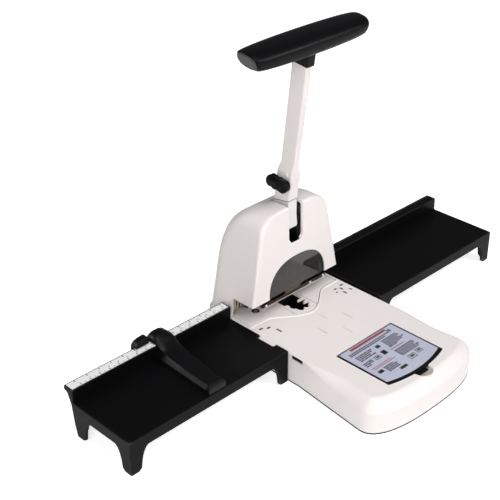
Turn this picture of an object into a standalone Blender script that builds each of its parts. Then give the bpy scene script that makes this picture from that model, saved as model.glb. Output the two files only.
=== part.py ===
"""Corner rounder: a hand-lever desk machine that trims the corners of a stack of sheets.

Metres, +Z up. +X runs along the side tables, -Y faces the user. The origin is under the
middle of the machine's box, on the surface that it stands on.
"""
import math

import bmesh
import bpy
from mathutils import Matrix, Vector

# Clearances
gap = 0.0003
overrun = 0.004

# Reach of the machine in front of and behind the face of the side fences
nose_reach = 0.1875
back_reach = 0.0385
fence_y = (nose_reach - back_reach) / 2

# Base shell
deck_top = 0.031
base_wall = 0.0025
base_lift = 0.0015
base_half = 0.0622
nose_half = 0.0710
nose_length = 0.025
nose_power = 2.5
nose_steps = 9
rim_radius = 0.012
rim_radius_beside_tables = 0.0015
rim_ramp = 0.012
rim_steps = 4
back_corner_radius = 0.014
boss_radius = 0.0045
boss_bore = 0.0019
back_boss_side = 0.0102
back_boss_inset = 0.010
front_boss_side = 0.0150
tongue_proud = 0.005
tongue_reach = base_half + tongue_proud
tongue_length = 0.020
tongue_front = 0.058
tongue_thickness = 0.0028
catch_slot_front = 0.088
catch_slot_length = 0.013
catch_slot_height = 0.0022
catch_slot_z = 0.0246
catch_slot_depth = 0.0035
mark_length = 0.0125
mark_width = 0.0009
mark_depth = 0.0004
mark_offset = 0.0175
mark_centre_reach = 0.0690

# Base plate, feet and their screws
plate_thickness = 0.002
plate_z = 0.002
foot_radius = 0.008
foot_inset = 0.017
front_foot_side = 0.0298
screw_shank = 0.0015
screw_head = 0.003
screw_head_height = 0.001
screw_hole = 0.0018
screw_grip = 0.012

# Storage well, tray and lid
lid_half = 0.0372
lid_back_reach = 0.1058
lid_corner_reach = 0.1645
lid_tip_reach = 0.1703
lid_thickness = 0.0028
lid_proud = 0.0003
lid_arc_steps = 8
label_inset = 0.0016
label_thickness = 0.0006
hinge_pin_radius = 0.0007
hinge_pin_length = 0.006
hinge_bore = 0.001
tray_lap = 0.003
tray_ledge = 0.0025
tray_depth = 0.020
tray_floor = 0.002
tray_front_reach = 0.1825
notch_radius = 0.0095
notch_reach = 0.1715
tab_half = 0.006
tab_reach = 0.1735
tab_thickness = 0.0012

# Bed under the head, chip drawer and die
bed_side_gap = 0.0047
bed_half = base_half - base_wall - bed_side_gap
bed_front_reach = 0.044
bed_back = 0.0225
tunnel_half = 0.031
tunnel_top = 0.0205
tunnel_front_reach = 0.0385
drawer_wall = 0.0015
drawer_face = 0.003
drawer_side_play = 0.0006
drawer_lip = 0.004
drawer_lip_height = 0.005
die_plate_side = 0.005
die_plate_half = base_half - die_plate_side
die_plate_step = 0.0037
die_plate_step_half = die_plate_half - die_plate_step
die_plate_thickness = 0.0025
die_plate_edge_reach = 0.0207
bell_reach = 0.0412
bell_half = 0.038
bell_fullness_share = 0.7
bell_steps = 14
die_plate_back = 0.022
hood_wall_front = 0.003
insert_half = 0.013
insert_front_reach = 0.0360
insert_back_reach = 0.004
die_half = 0.0128
die_height = 0.006
die_sunk = 0.0012
punch_half = 0.0105
mouth_front_reach = 0.0335
punch_front_reach = 0.0180
punch_back_reach = 0.0072
die_clearance = 0.0004
plate_screw_x = 0.036
plate_screw_reach = 0.0047
plate_screw_head = 0.0032
plate_screw_head_height = 0.0016
plate_screw_recess = 0.0036
plate_screw_depth = 0.011

# Steel frame inside the head
frame_half = 0.039
frame_thickness = 0.003
frame_front_reach = 0.014
frame_back = 0.016
frame_top = 0.116
frame_leg_front = 0.004
frame_throat = 0.0471
frame_flange = 0.010
frame_bolt_y = 0.010
bolt_radius = 0.002
bolt_head = 0.0036
bolt_head_height = 0.003
bolt_depth = 0.005
stripper_half = 0.042
stripper_front_reach = 0.021
stripper_back = 0.0037
stripper_bottom = 0.0432
stripper_thickness = 0.0036
stop_plate_thickness = 0.0018
bridge_thickness = 0.003
bridge_slot_half = 0.011
bridge_slot_back = 0.0135
tie_thickness = 0.0025
tie_bottom = 0.050
tie_height = 0.050
post_x = 0.026
post_reach = 0.0095
post_radius = 0.004
post_collar = 0.0055
post_collar_height = 0.002

# Ram and punch
ram_half = 0.033
ram_front_reach = 0.0153
ram_back_reach = 0.0035
ram_bottom = 0.078
ram_height = 0.014
yoke_inner = 0.0064
yoke_thickness = 0.003
yoke_front_reach = 0.0160
yoke_back_reach = 0.0028
yoke_top = 0.1206
holder_half = 0.012
holder_bottom = 0.0622
punch_bottom = 0.0433
punch_height = 0.010
bracket_half = 0.009
bracket_thickness = 0.0026
bracket_top = 0.072
bracket_hole_z = 0.066
bracket_hole_x = 0.0045
punch_screw_radius = 0.0015
punch_screw_head = 0.0026
punch_screw_head_height = 0.0005
punch_screw_length = 0.006
spring_radius = 0.0063
spring_wire = 0.0007
spring_turns = 7
spring_points = 8

# Lever: pivot, inner lever, upper arm and grip
pivot_back = 0.003
pivot_z = 0.106
lever_lean = 7.7
lever_stroke = 58.0
axle_radius = 0.005
axle_end = 0.0025
clip_radius = 0.0068
clip_thickness = 0.001
hub_radius = 0.011
inner_half = 0.0057
tang_half = 0.0045
pin_arm = 0.0143
pin_angle = 35.0
yoke_pin_radius = 0.0025
yoke_pin_play = 0.0005
socket_half = 0.006
socket_front = 0.0149
socket_back = 0.0049
socket_bottom = 0.0275
socket_bottom_rise = 0.0035
socket_top = 0.060
arm_half = 0.0035
arm_front = 0.0136
arm_back = 0.0040
arm_start = 0.070
arm_top = 0.1715
tang_clearance = 0.0003
tang_inset = 0.0017
tang_top = 0.064
rivet_radius = 0.002
rivet_forward = 0.0035
rivet_low = 0.038
rivet_high = 0.0592
rivet_proud = 0.0005
knob_up = 0.0515
knob_length = 0.0275
knob_height = 0.012
knob_thickness = 0.009
knob_waist_share = 0.72
knob_standoff = 0.002
stud_radius = 0.0025
grip_centre_up = 0.1850
grip_centre_forward = 0.0051
grip_half_length = 0.0686
grip_half_depth = 0.0153
grip_half_height = 0.0098
grip_tip_depth_share = 0.79
grip_tip_height_share = 0.77
grip_slant_share = 0.7
cap_thickness = 0.0012
neck_half = 0.0047
neck_front = 0.0147
neck_back = 0.0020
neck_bottom = 0.1655

# Hood over the head
hood_wall = 0.0025
hood_set_in = 0.0014
hood_bottom_half = base_half - hood_set_in
hood_slope_share = 0.195
hood_top = 0.135
hood_front_bottom = 0.0225
hood_front_top = 0.0198
hood_back = 0.037
hood_overhang_z = 0.0505
hood_shoulder = 0.0175
hood_shoulder_share = 1.1
hood_back_sweep = 0.060
hood_back_draw = 0.047
hood_back_power = 2.4
hood_front_radius = 0.004
hood_back_radius = 0.0145
hood_corner_steps = 4
slot_half = 0.0076
slot_bottom = 0.0985
slot_back = 0.0070
slot_corner = 0.005
window_half = 0.038
window_top = 0.0845
window_power = 2.25
window_steps = 18
window_thickness = 0.0015
window_recess = 0.0007
hood_screw_x = 0.020
hood_screw_z = 0.060

# Side tables
table_side_play = 0.001
table_inner = base_half + table_side_play
table_outer = 0.2425
table_depth = 0.0728
table_top = 0.033
table_wall = 0.0025
fence_height = 0.013
fence_width = 0.0115
fence_lip = 0.0035
table_heel_back_share = 0.27
table_heel_foot_share = 0.21
skirt_bottom = 0.0225
leg_foot = 0.0090
leg_head = 0.0200
leg_arc_steps = 4
peg_radius = 0.003
peg_length = 0.0076
peg_z = 0.012
peg_front_inset = 0.0128
peg_front = table_depth - peg_front_inset
peg_back = 0.015
peg_play = 0.0003
ruler_thickness = 0.0005
ruler_inset = 0.001

# Sliding side stop
stop_x = 0.1415
stop_half = 0.0130
stop_top = 0.0555
stop_bar_height = 0.0065
stop_bar_back_half = 0.0125
stop_bar_front_half = 0.0093
stop_bar_lean = 0.0055
stop_wall = 0.0024
stop_bar_inset = 0.0012
stop_curl = 0.0016
stop_play = 0.0004
latch_length = 0.0145
latch_front = 0.0062
latch_rise = 0.0062
latch_drop = 0.005

# Colours and finishes: base colour, roughness, metallic
finishes = {
    "off_white": ((0.86, 0.82, 0.80), 0.42, 0.0),
    "black_plastic": ((0.016, 0.015, 0.017), 0.45, 0.0),
    "black_grip": ((0.012, 0.011, 0.013), 0.35, 0.0),
    "rubber": ((0.02, 0.02, 0.02), 0.85, 0.0),
    "bright_steel": ((0.62, 0.61, 0.60), 0.25, 1.0),
    "dark_steel": ((0.16, 0.16, 0.17), 0.4, 1.0),
    "brass": ((0.62, 0.47, 0.24), 0.35, 1.0),
    "smoked": ((0.05, 0.047, 0.048), 0.15, 0.0),
    "label": ((0.57, 0.58, 0.68), 0.4, 0.0),
    "ruler_white": ((0.85, 0.85, 0.84), 0.4, 0.0),
}

parts = None
cutters = None
materials = {}


def reach(distance):
    """Y of a point that lies this far in front of the fence face."""
    return fence_y - distance


def behind(distance):
    """Y of a point that lies this far behind the fence face."""
    return fence_y + distance


def clear_scene():
    """Removes every object and makes the two collections."""
    global parts, cutters
    for thing in list(bpy.data.objects):
        bpy.data.objects.remove(thing, do_unlink=True)
    parts = bpy.data.collections.new("corner_rounder")
    cutters = bpy.data.collections.new("cutters")
    bpy.context.scene.collection.children.link(parts)
    bpy.context.scene.collection.children.link(cutters)


def finish(name):
    """The material of this name, made once."""
    if name not in materials:
        colour, roughness, metallic = finishes[name]
        material = bpy.data.materials.new(name)
        material.use_nodes = True
        shader = material.node_tree.nodes["Principled BSDF"]
        shader.inputs["Base Color"].default_value = (*colour, 1.0)
        shader.inputs["Roughness"].default_value = roughness
        shader.inputs["Metallic"].default_value = metallic
        material.diffuse_color = (*colour, 1.0)
        materials[name] = material
    return materials[name]


def add_object(name, mesh, finish_name=None, location=(0, 0, 0)):
    """Links a mesh as a part, or as a cutter when it has no finish."""
    thing = bpy.data.objects.new(name, mesh)
    thing.location = location
    if finish_name is None:
        cutters.objects.link(thing)
        thing.hide_render = True
        thing.display_type = "WIRE"
    else:
        parts.objects.link(thing)
        mesh.materials.append(finish(finish_name))
    return thing


def mesh_from(name, bm):
    """Turns a bmesh into a mesh with its faces pointing out."""
    bmesh.ops.recalc_face_normals(bm, faces=bm.faces)
    mesh = bpy.data.meshes.new(name)
    bm.to_mesh(mesh)
    bm.free()
    return mesh


def block(name, x, y, z, finish_name=None, bevel=0.0):
    """A box between pairs of X, Y and Z, with its origin at its middle."""
    size = [side[1] - side[0] for side in (x, y, z)]
    middle = [(side[1] + side[0]) / 2 for side in (x, y, z)]
    bm = bmesh.new()
    bmesh.ops.create_cube(bm, size=1.0)
    bmesh.ops.scale(bm, vec=size, verts=bm.verts)
    thing = add_object(name, mesh_from(name, bm), finish_name, middle)
    if bevel > 0:
        add_bevel(thing, bevel)
    return thing


def cylinder(name, radius, ends, centre, axis, finish_name=None, segments=20, top_radius=None):
    """A cylinder or cone along an axis, between two places on it; the origin is on its axis."""
    length = ends[1] - ends[0]
    bm = bmesh.new()
    other = radius if top_radius is None else top_radius
    bmesh.ops.create_cone(bm, cap_ends=True, segments=segments, radius1=radius, radius2=other, depth=length)
    turn = {"X": Matrix.Rotation(math.pi / 2, 3, "Y"), "Y": Matrix.Rotation(-math.pi / 2, 3, "X"),
            "Z": Matrix.Identity(3)}[axis]
    bmesh.ops.rotate(bm, matrix=turn, verts=bm.verts)
    mesh = mesh_from(name, bm)
    mesh.shade_smooth()
    mesh.set_sharp_from_angle(angle=math.radians(40))
    middle = (ends[0] + ends[1]) / 2
    place = {"X": (middle, *centre), "Y": (centre[0], middle, centre[1]), "Z": (*centre, middle)}[axis]
    return add_object(name, mesh, finish_name, place)


def outline_solid(name, points, ends, facing, finish_name=None):
    """Extrudes a flat outline. Facing is the axis that it runs along: X takes (y, z) points,
    Y takes (x, z) points and Z takes (x, y) points."""
    curve = bpy.data.curves.new(name, "CURVE")
    curve.dimensions = "2D"
    curve.fill_mode = "BOTH"
    curve.extrude = (ends[1] - ends[0]) / 2
    spline = curve.splines.new("POLY")
    spline.points.add(len(points) - 1)
    for place, point in zip(spline.points, points):
        place.co = (point[0], point[1], 0, 1)
    spline.use_cyclic_u = True
    guide = bpy.data.objects.new(name + "_outline", curve)
    bpy.context.scene.collection.objects.link(guide)
    bpy.context.view_layer.update()
    mesh = bpy.data.meshes.new_from_object(guide.evaluated_get(bpy.context.evaluated_depsgraph_get()))
    bpy.data.objects.remove(guide, do_unlink=True)
    middle = (ends[0] + ends[1]) / 2
    columns = {"X": ((0, 1, 0), (0, 0, 1), (1, 0, 0)), "Y": ((1, 0, 0), (0, 0, 1), (0, -1, 0)),
               "Z": ((1, 0, 0), (0, 1, 0), (0, 0, 1))}[facing]
    turn = Matrix(columns).transposed().to_4x4()
    shift = Vector(columns[2]) * (middle if facing != "Y" else -middle)
    bm = bmesh.new()
    bm.from_mesh(mesh)
    bmesh.ops.remove_doubles(bm, verts=bm.verts, dist=gap / 100)
    bmesh.ops.dissolve_limit(bm, angle_limit=math.radians(0.05), verts=bm.verts, edges=bm.edges)
    bmesh.ops.transform(bm, matrix=turn, verts=bm.verts)
    mesh.materials.clear()
    bmesh.ops.recalc_face_normals(bm, faces=bm.faces)
    bm.to_mesh(mesh)
    bm.free()
    mesh.name = name
    return add_object(name, mesh, finish_name, shift)


def loft_solid(name, loops, finish_name=None):
    """A closed solid through loops of points, all with the same count, from bottom to top."""
    bm = bmesh.new()
    rings = [[bm.verts.new(point) for point in loop] for loop in loops]
    count = len(rings[0])
    for low, high in zip(rings, rings[1:]):
        for i in range(count):
            j = (i + 1) % count
            bm.faces.new((low[i], low[j], high[j], high[i]))
    bm.faces.new(rings[0][::-1])
    bm.faces.new(rings[-1])
    mesh = mesh_from(name, bm)
    mesh.shade_smooth()
    mesh.set_sharp_from_angle(angle=math.radians(35))
    return add_object(name, mesh, finish_name)


def add_bevel(thing, width, segments=2):
    """Rounds the edges of a piece."""
    bevel = thing.modifiers.new("round", "BEVEL")
    bevel.width = width
    bevel.segments = segments
    bevel.limit_method = "ANGLE"
    bevel.angle_limit = math.radians(40)


def combine(thing, others, operation="DIFFERENCE"):
    """Cuts or joins solids with exact Booleans."""
    for other in others:
        step = thing.modifiers.new(other.name, "BOOLEAN")
        step.operation = operation
        step.solver = "EXACT"
        step.object = other


def headed_pin(name, head, head_ends, shank, shank_ends, place, axis, finish_name, head_sides=14):
    """A screw, bolt, post or rivet: a head or collar and a shank on one axis, joined into one solid."""
    pin = cylinder(name, head, head_ends, place, axis, finish_name, segments=head_sides)
    stem = cylinder(name + "_shank", shank, shank_ends, place, axis, segments=12)
    combine(pin, [stem], "UNION")
    return pin


def arc(centre, radius, start, end, steps):
    """Points along an arc, by angles in degrees."""
    places = []
    for step in range(steps + 1):
        angle = math.radians(start + (end - start) * step / steps)
        places.append((centre[0] + radius * math.cos(angle), centre[1] + radius * math.sin(angle)))
    return places


def parent_all(holder, things):
    """Parents pieces, with the solids that shape them, to an empty and leaves them where they are."""
    bpy.context.view_layer.update()
    for thing in things:
        thing.parent = holder
        thing.matrix_parent_inverse = holder.matrix_world.inverted()
        shaping = [step.object for step in thing.modifiers if step.type == "BOOLEAN"]
        if shaping:
            parent_all(holder, shaping)


def empty(name, place, turn=(0, 0, 0)):
    """An empty on a joint's axis."""
    holder = bpy.data.objects.new(name, None)
    holder.location = place
    holder.rotation_euler = turn
    parts.objects.link(holder)
    return holder


def base_outline(inset=0.0):
    """Plan outline of the base from the tip of the nose round its right side, then its mirror.

    Gives (x, y, rim radius) for each point; inset moves the outline inwards.
    """
    half = []
    for step in range(nose_steps + 1):
        turn = math.pi / 2 * (1 - step / nose_steps)
        across = (nose_half - inset) * math.cos(turn) ** (2 / nose_power)
        along = (nose_length - inset) * math.sin(turn) ** (2 / nose_power)
        half.append((across, reach(nose_reach - nose_length) - along))
    half.append((base_half - inset, reach(table_depth + rim_ramp)))
    half.append((base_half - inset, reach(table_depth)))
    corner = (base_half - back_corner_radius, behind(back_reach - back_corner_radius))
    half += arc(corner, back_corner_radius - inset, 0, 90, 3)
    points = half + [(-x, y) for x, y in reversed(half[1:])]
    rim = []
    for x, y in points:
        share = min(max((reach(table_depth) - y) / rim_ramp, 0.0), 1.0)
        rim.append((x, y, rim_radius_beside_tables + (rim_radius - rim_radius_beside_tables) * share))
    return rim


def rim_solid(name, inset, bottom, top, finish_name=None):
    """The base's outer or inner solid: an upright wall that turns over into a flat deck."""
    outline = base_outline(inset)
    count = len(outline)
    loops = [[(x, y, bottom) for x, y, _ in outline]]
    for step in range(rim_steps + 1):
        turn = math.pi / 2 * step / rim_steps
        loop = []
        for i, (x, y, radius) in enumerate(outline):
            before = Vector(outline[i - 1][:2])
            after = Vector(outline[(i + 1) % count][:2])
            along = (after - before).normalized()
            inwards = Vector((-along.y, along.x))
            round_by = max(radius - inset, rim_radius_beside_tables / 2)
            shift = inwards * round_by * (1 - math.cos(turn))
            loop.append((x + shift.x, y + shift.y, top - round_by * (1 - math.sin(turn))))
        loops.append(loop)
    return loft_solid(name, loops, finish_name)


def lid_outline(grow):
    """Plan outline of the storage lid, grown or shrunk all round; its front bulges."""
    half = lid_half + grow
    bulge = lid_tip_reach - lid_corner_reach
    points = [(-half, reach(lid_back_reach - grow)), (-half, reach(lid_corner_reach + grow))]
    for step in range(1, lid_arc_steps):
        share = step / lid_arc_steps
        across = -half + 2 * half * share
        rise = bulge * (1 - (2 * share - 1) ** 2)
        points.append((across, reach(lid_corner_reach + grow + rise)))
    points += [(half, reach(lid_corner_reach + grow)), (half, reach(lid_back_reach - grow))]
    return points


def bell_outline(grow):
    """Plan outline of the die plate: square at the back, a bell towards the user."""
    step_y = behind(hood_wall_front) - gap + grow
    points = [(-die_plate_half - grow, step_y)]
    points.append((-die_plate_half - grow, reach(die_plate_edge_reach - gap * 2 + grow)))
    for step in range(bell_steps + 1):
        share = step / bell_steps
        across = -bell_half + 2 * bell_half * share
        swell = ((1 + math.cos(math.pi * (2 * share - 1))) / 2) ** bell_fullness_share
        along = die_plate_edge_reach + (bell_reach - die_plate_edge_reach) * swell
        points.append((across, reach(along + grow)))
    points.append((die_plate_half + grow, reach(die_plate_edge_reach - gap * 2 + grow)))
    points.append((die_plate_half + grow, step_y))
    points.append((die_plate_step_half + grow, step_y))
    points.append((die_plate_step_half + grow, behind(die_plate_back + grow)))
    points.append((-die_plate_step_half - grow, behind(die_plate_back + grow)))
    points.append((-die_plate_step_half - grow, step_y))
    return points


def build_base_shell():
    """The off-white shell with its deck, openings, screw bosses and side tongues."""
    shell = rim_solid("base_shell", 0.0, base_lift, deck_top, "off_white")
    inner = rim_solid("base_inner_space", base_wall, base_lift - overrun, deck_top - base_wall)
    combine(shell, [inner])
    joins = []
    bores = []
    boss_bottom = plate_z + plate_thickness + gap
    for x, y in boss_places():
        name = f"boss_{len(joins)}"
        joins.append(cylinder(name, boss_radius, (boss_bottom, deck_top - base_wall / 2), (x, y), "Z"))
        bores.append(cylinder(name + "_bore", boss_bore, (boss_bottom - overrun, boss_bottom + screw_grip),
                              (x, y), "Z", segments=12))
    for side in (-1, 1):
        ends = sorted((side * (base_half - base_wall / 2), side * tongue_reach))
        joins.append(block(f"tongue_{side + 1}", ends, (reach(tongue_front), reach(tongue_front - tongue_length)),
                           (deck_top - tongue_thickness, deck_top)))
    combine(shell, joins, "UNION")
    lid_cut = outline_solid("lid_opening", lid_outline(gap), (deck_top - base_wall - overrun, deck_top + overrun), "Z")
    plate_cut = outline_solid("die_plate_opening", bell_outline(gap),
                              (deck_top - base_wall - overrun, deck_top + overrun), "Z")
    notch = cylinder("finger_notch", notch_radius, (deck_top - base_wall - overrun, deck_top + overrun),
                     (0, reach(notch_reach)), "Z", segments=28)
    drawer_cut = block("drawer_opening", (-tunnel_half, tunnel_half),
                       (behind(back_reach) - base_wall - overrun, behind(back_reach) + overrun),
                       (base_lift - overrun, tunnel_top))
    cuts = [lid_cut, plate_cut, notch, drawer_cut]
    pin_z = deck_top + lid_proud - lid_thickness / 2
    pin_y = reach(lid_back_reach) - lid_thickness / 2
    for side in (-1, 1):
        ends = sorted((side * lid_half, side * (lid_half + hinge_pin_length / 2 + gap * 2)))
        cuts.append(cylinder(f"hinge_pin_hole_{side + 1}", hinge_bore, ends, (pin_y, pin_z), "X", segments=10))
        slot_face = base_half + (nose_half - base_half) / 4
        ends = sorted((side * (slot_face - catch_slot_depth), side * (slot_face + overrun)))
        cuts.append(block(f"catch_slot_{side + 1}", ends,
                          (reach(catch_slot_front), reach(catch_slot_front - catch_slot_length)),
                          (catch_slot_z, catch_slot_z + catch_slot_height)))
        for i, forward in enumerate((peg_front, peg_back)):
            ends = sorted((side * (base_half - base_wall - overrun), side * (base_half + overrun)))
            cuts.append(cylinder(f"peg_hole_{side + 1}_{i}", peg_radius + peg_play, ends,
                                 (reach(forward), peg_z), "X", segments=16))
    for i, (x, forward) in enumerate(mark_places()):
        cuts.append(block(f"deck_mark_{i}", (x - mark_width / 2, x + mark_width / 2),
                          (reach(forward + mark_length / 2), reach(forward - mark_length / 2)),
                          (deck_top - mark_depth, deck_top + overrun)))
    combine(shell, cuts + bores)
    return shell


def boss_places():
    """Plan places of the four screw bosses."""
    places = []
    for side in (-1, 1):
        places.append((side * (base_half - back_boss_side), behind(back_reach - back_boss_inset)))
        places.append((side * (nose_half - front_boss_side), reach(nose_reach - nose_length)))
    return places


def mark_places():
    """Middles of the four short grooves in the deck: x and distance in front of the fence face."""
    return [(0, mark_centre_reach - mark_offset), (mark_offset, mark_centre_reach),
            (-mark_offset, mark_centre_reach), (0, mark_centre_reach + mark_offset)]


def build_underside():
    """Base plate, its four screws and the four rubber feet."""
    inset = base_wall + gap
    outline = [(x, y) for x, y, _ in base_outline(inset)]
    plate = outline_solid("base_plate", outline, (plate_z, plate_z + plate_thickness), "Z", "dark_steel")
    holes = []
    for i, (x, y) in enumerate(boss_places()):
        holes.append(cylinder(f"plate_hole_{i}", screw_hole, (plate_z - overrun, plate_z + plate_thickness + overrun / 2),
                              (x, y), "Z", segments=12))
        head_top = plate_z - gap
        headed_pin(f"base_screw_{i + 1}", screw_head, (head_top - screw_head_height, head_top), screw_shank,
                   (head_top - screw_head_height / 2, plate_z + plate_thickness + screw_grip - gap * 2), (x, y), "Z",
                   "bright_steel", head_sides=12)
    combine(plate, holes)
    count = 0
    for side in (-1, 1):
        for x, y in ((base_half - foot_inset - foot_radius / 2, behind(back_reach - foot_inset)),
                     (nose_half - front_foot_side, reach(nose_reach - nose_length + foot_inset / 3))):
            count += 1
            cylinder(f"rubber_foot_{count}", foot_radius - base_wall / 2, (0, plate_z - gap), (side * x, y), "Z",
                     "rubber", segments=18, top_radius=foot_radius)


def build_storage():
    """Storage tray, its hinged lid, the lid's two pins and the label panel in it."""
    rim_top = deck_top - base_wall - gap
    half = lid_half + tray_lap
    corner = lid_corner_reach + tray_lap / 2
    well = [(-half, reach(lid_back_reach - tray_lap)), (-half, reach(corner)),
            (-half / 2, reach(tray_front_reach)), (half / 2, reach(tray_front_reach)), (half, reach(corner)),
            (half, reach(lid_back_reach - tray_lap))]
    tray = outline_solid("storage_tray", well, (rim_top - tray_depth, rim_top), "Z", "black_plastic")
    limit = rim_solid("tray_limit", base_wall + gap, base_lift, deck_top - base_wall - gap)
    combine(tray, [limit], "INTERSECT")
    room = outline_solid("tray_room", lid_outline(-tray_ledge), (rim_top - tray_depth + tray_floor, rim_top + overrun),
                         "Z")
    scoop_mesh = bmesh.new()
    bmesh.ops.create_uvsphere(scoop_mesh, u_segments=20, v_segments=10, radius=notch_radius)
    scoop = add_object("finger_scoop", mesh_from("finger_scoop", scoop_mesh), None, (0, reach(notch_reach), rim_top))
    combine(tray, [room, scoop])

    top = deck_top + lid_proud
    bottom = top - lid_thickness
    axis_y = reach(lid_back_reach) - lid_thickness / 2
    axis_z = (top + bottom) / 2
    lid = outline_solid("storage_lid", [(x, min(y, axis_y)) for x, y in lid_outline(0.0)], (bottom, top), "Z",
                        "black_plastic")
    barrel = cylinder("lid_back_edge", lid_thickness / 2, (-lid_half, lid_half), (axis_y, axis_z), "X", segments=16)
    tab = block("lid_tab", (-tab_half, tab_half), (reach(tab_reach), reach(lid_corner_reach)),
                (bottom, bottom + tab_thickness))
    combine(lid, [barrel, tab], "UNION")
    recess = outline_solid("label_recess", lid_outline(-label_inset), (top - label_thickness, top + overrun), "Z")
    pin_end = lid_half + hinge_pin_length / 2
    pins = cylinder("lid_pivot_pins", hinge_pin_radius, (-pin_end, pin_end), (axis_y, axis_z), "X", segments=10)
    combine(lid, [pins], "UNION")
    combine(lid, [recess])
    label = outline_solid("lid_label", lid_outline(-label_inset - gap), (top - label_thickness + gap, top + gap), "Z",
                          "label")
    hinge = empty("lid_hinge", (0, axis_y, axis_z))
    parent_all(hinge, [lid, label])


def build_bed():
    """Cast bed under the head, the chip drawer that runs in it, and the die set on it."""
    bed_top = deck_top - die_plate_thickness - gap
    floor = plate_z + plate_thickness + gap
    bed = block("bed_casting", (-bed_half, bed_half), (reach(bed_front_reach), behind(bed_back)), (floor, bed_top),
                "dark_steel")
    tunnel = block("drawer_tunnel", (-tunnel_half, tunnel_half),
                   (reach(tunnel_front_reach), behind(bed_back) + overrun), (floor - overrun, tunnel_top))
    die_pocket = block("die_pocket", (-die_half - gap, die_half + gap),
                       (reach(insert_front_reach) - gap, reach(insert_back_reach) + gap),
                       (bed_top - die_height + die_sunk - gap, bed_top + overrun))
    opening = (-punch_half - die_clearance * 2, punch_half + die_clearance * 2)
    chip_hole = block("chip_hole", opening,
                      (reach(mouth_front_reach + die_clearance * 2), reach(punch_back_reach - die_clearance * 2)),
                      (tunnel_top - overrun, bed_top))
    cuts = [tunnel, die_pocket, chip_hole]
    for x, y, radius, depth in bed_bores():
        cuts.append(cylinder(f"bed_bore_{len(cuts)}", radius + gap, (bed_top - depth, bed_top + overrun), (x, y), "Z",
                             segments=14))
    combine(bed, cuts)

    die_top = deck_top - die_plate_thickness - gap + die_sunk - gap
    lower_die = block("lower_die", (-die_half, die_half), (reach(insert_front_reach), reach(insert_back_reach)),
                      (die_top - die_height + gap, die_top - gap * 2), "dark_steel")
    slot = block("lower_die_hole", (-punch_half - die_clearance, punch_half + die_clearance),
                 (reach(mouth_front_reach), reach(punch_back_reach - die_clearance)),
                 (die_top - die_height - overrun, die_top + overrun))
    combine(lower_die, [slot])
    return [bed, lower_die]


def bed_bores():
    """Screw bores in the bed: x, y, radius and depth."""
    bores = []
    for side in (-1, 1):
        bores.append((side * plate_screw_x, reach(plate_screw_reach), screw_shank, plate_screw_depth))
        bores.append((side * (frame_half - frame_flange / 2 - frame_thickness), behind(frame_bolt_y), bolt_radius,
                      bolt_depth))
    return bores


def build_die_plate():
    """Die plate with its bell edge, the flush insert round the die opening, and their screws."""
    bottom = deck_top - die_plate_thickness
    plate = outline_solid("die_plate", bell_outline(0.0), (bottom, deck_top), "Z", "off_white")
    insert_cut = block("insert_opening", (-insert_half - gap, insert_half + gap),
                       (reach(insert_front_reach + gap), reach(insert_back_reach - gap)),
                       (bottom - overrun, deck_top + overrun))
    cuts = [insert_cut]
    for side, hand in ((-1, "left"), (1, "right")):
        place = (side * plate_screw_x, reach(plate_screw_reach))
        cuts.append(cylinder(f"plate_screw_recess_{side + 1}", plate_screw_recess,
                             (deck_top - plate_screw_head_height, deck_top + overrun), place, "Z", segments=20))
        cuts.append(cylinder(f"plate_screw_way_{side + 1}", screw_hole, (bottom - overrun, deck_top + overrun), place,
                             "Z", segments=14))
        head_bottom = deck_top - plate_screw_head_height + gap
        headed_pin(f"die_plate_screw_{hand}", plate_screw_head, (head_bottom, deck_top), screw_shank,
                   (bottom - plate_screw_depth + gap * 3, head_bottom + gap), place, "Z", "bright_steel",
                   head_sides=16)
        bolt_place = (side * (frame_half - frame_flange / 2 - frame_thickness), behind(frame_bolt_y))
        cuts.append(cylinder(f"frame_bolt_way_{side + 1}", bolt_radius + gap, (bottom - overrun, deck_top + overrun),
                             bolt_place, "Z", segments=14))
    combine(plate, cuts)

    insert = block("die_insert", (-insert_half, insert_half), (reach(insert_front_reach), reach(insert_back_reach)),
                   (bottom + gap, deck_top), "off_white")
    mouth_shares = [(-0.86, 0.06), (-0.86, 0.46), (-0.78, 0.50), (-0.64, 0.78), (-0.40, 0.955), (0.49, 0.955),
                    (0.85, 0.72), (0.50, 0.71), (0.50, 0.67), (0.86, 0.66), (0.88, 0.53), (0.36, 0.52), (0.36, 0.485),
                    (0.88, 0.475), (0.90, 0.06)]
    length = insert_front_reach - insert_back_reach
    points = [(x * insert_half, reach(insert_back_reach + y * length)) for x, y in mouth_shares]
    combine(insert, [outline_solid("die_mouth", points, (bottom - overrun, deck_top + overrun), "Z")])


def build_chip_drawer():
    """The drawer that catches the cut corners; it pulls out at the back."""
    floor = plate_z + plate_thickness + gap
    half = tunnel_half - drawer_side_play
    top = tunnel_top - gap * 2
    front = reach(tunnel_front_reach - drawer_side_play)
    back = behind(back_reach) - drawer_lip
    drawer = block("chip_drawer", (-half, half), (front, back), (floor, top), "black_plastic")
    room = block("drawer_room", (-half + drawer_wall, half - drawer_wall), (front + drawer_wall, back - drawer_face),
                 (floor + drawer_wall, top + overrun))
    lip = block("drawer_lip", (-half / 2, half / 2), (back - drawer_face / 2, back + drawer_lip),
                (floor, floor + drawer_lip_height))
    combine(drawer, [lip], "UNION")
    combine(drawer, [room])
    return drawer


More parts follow.
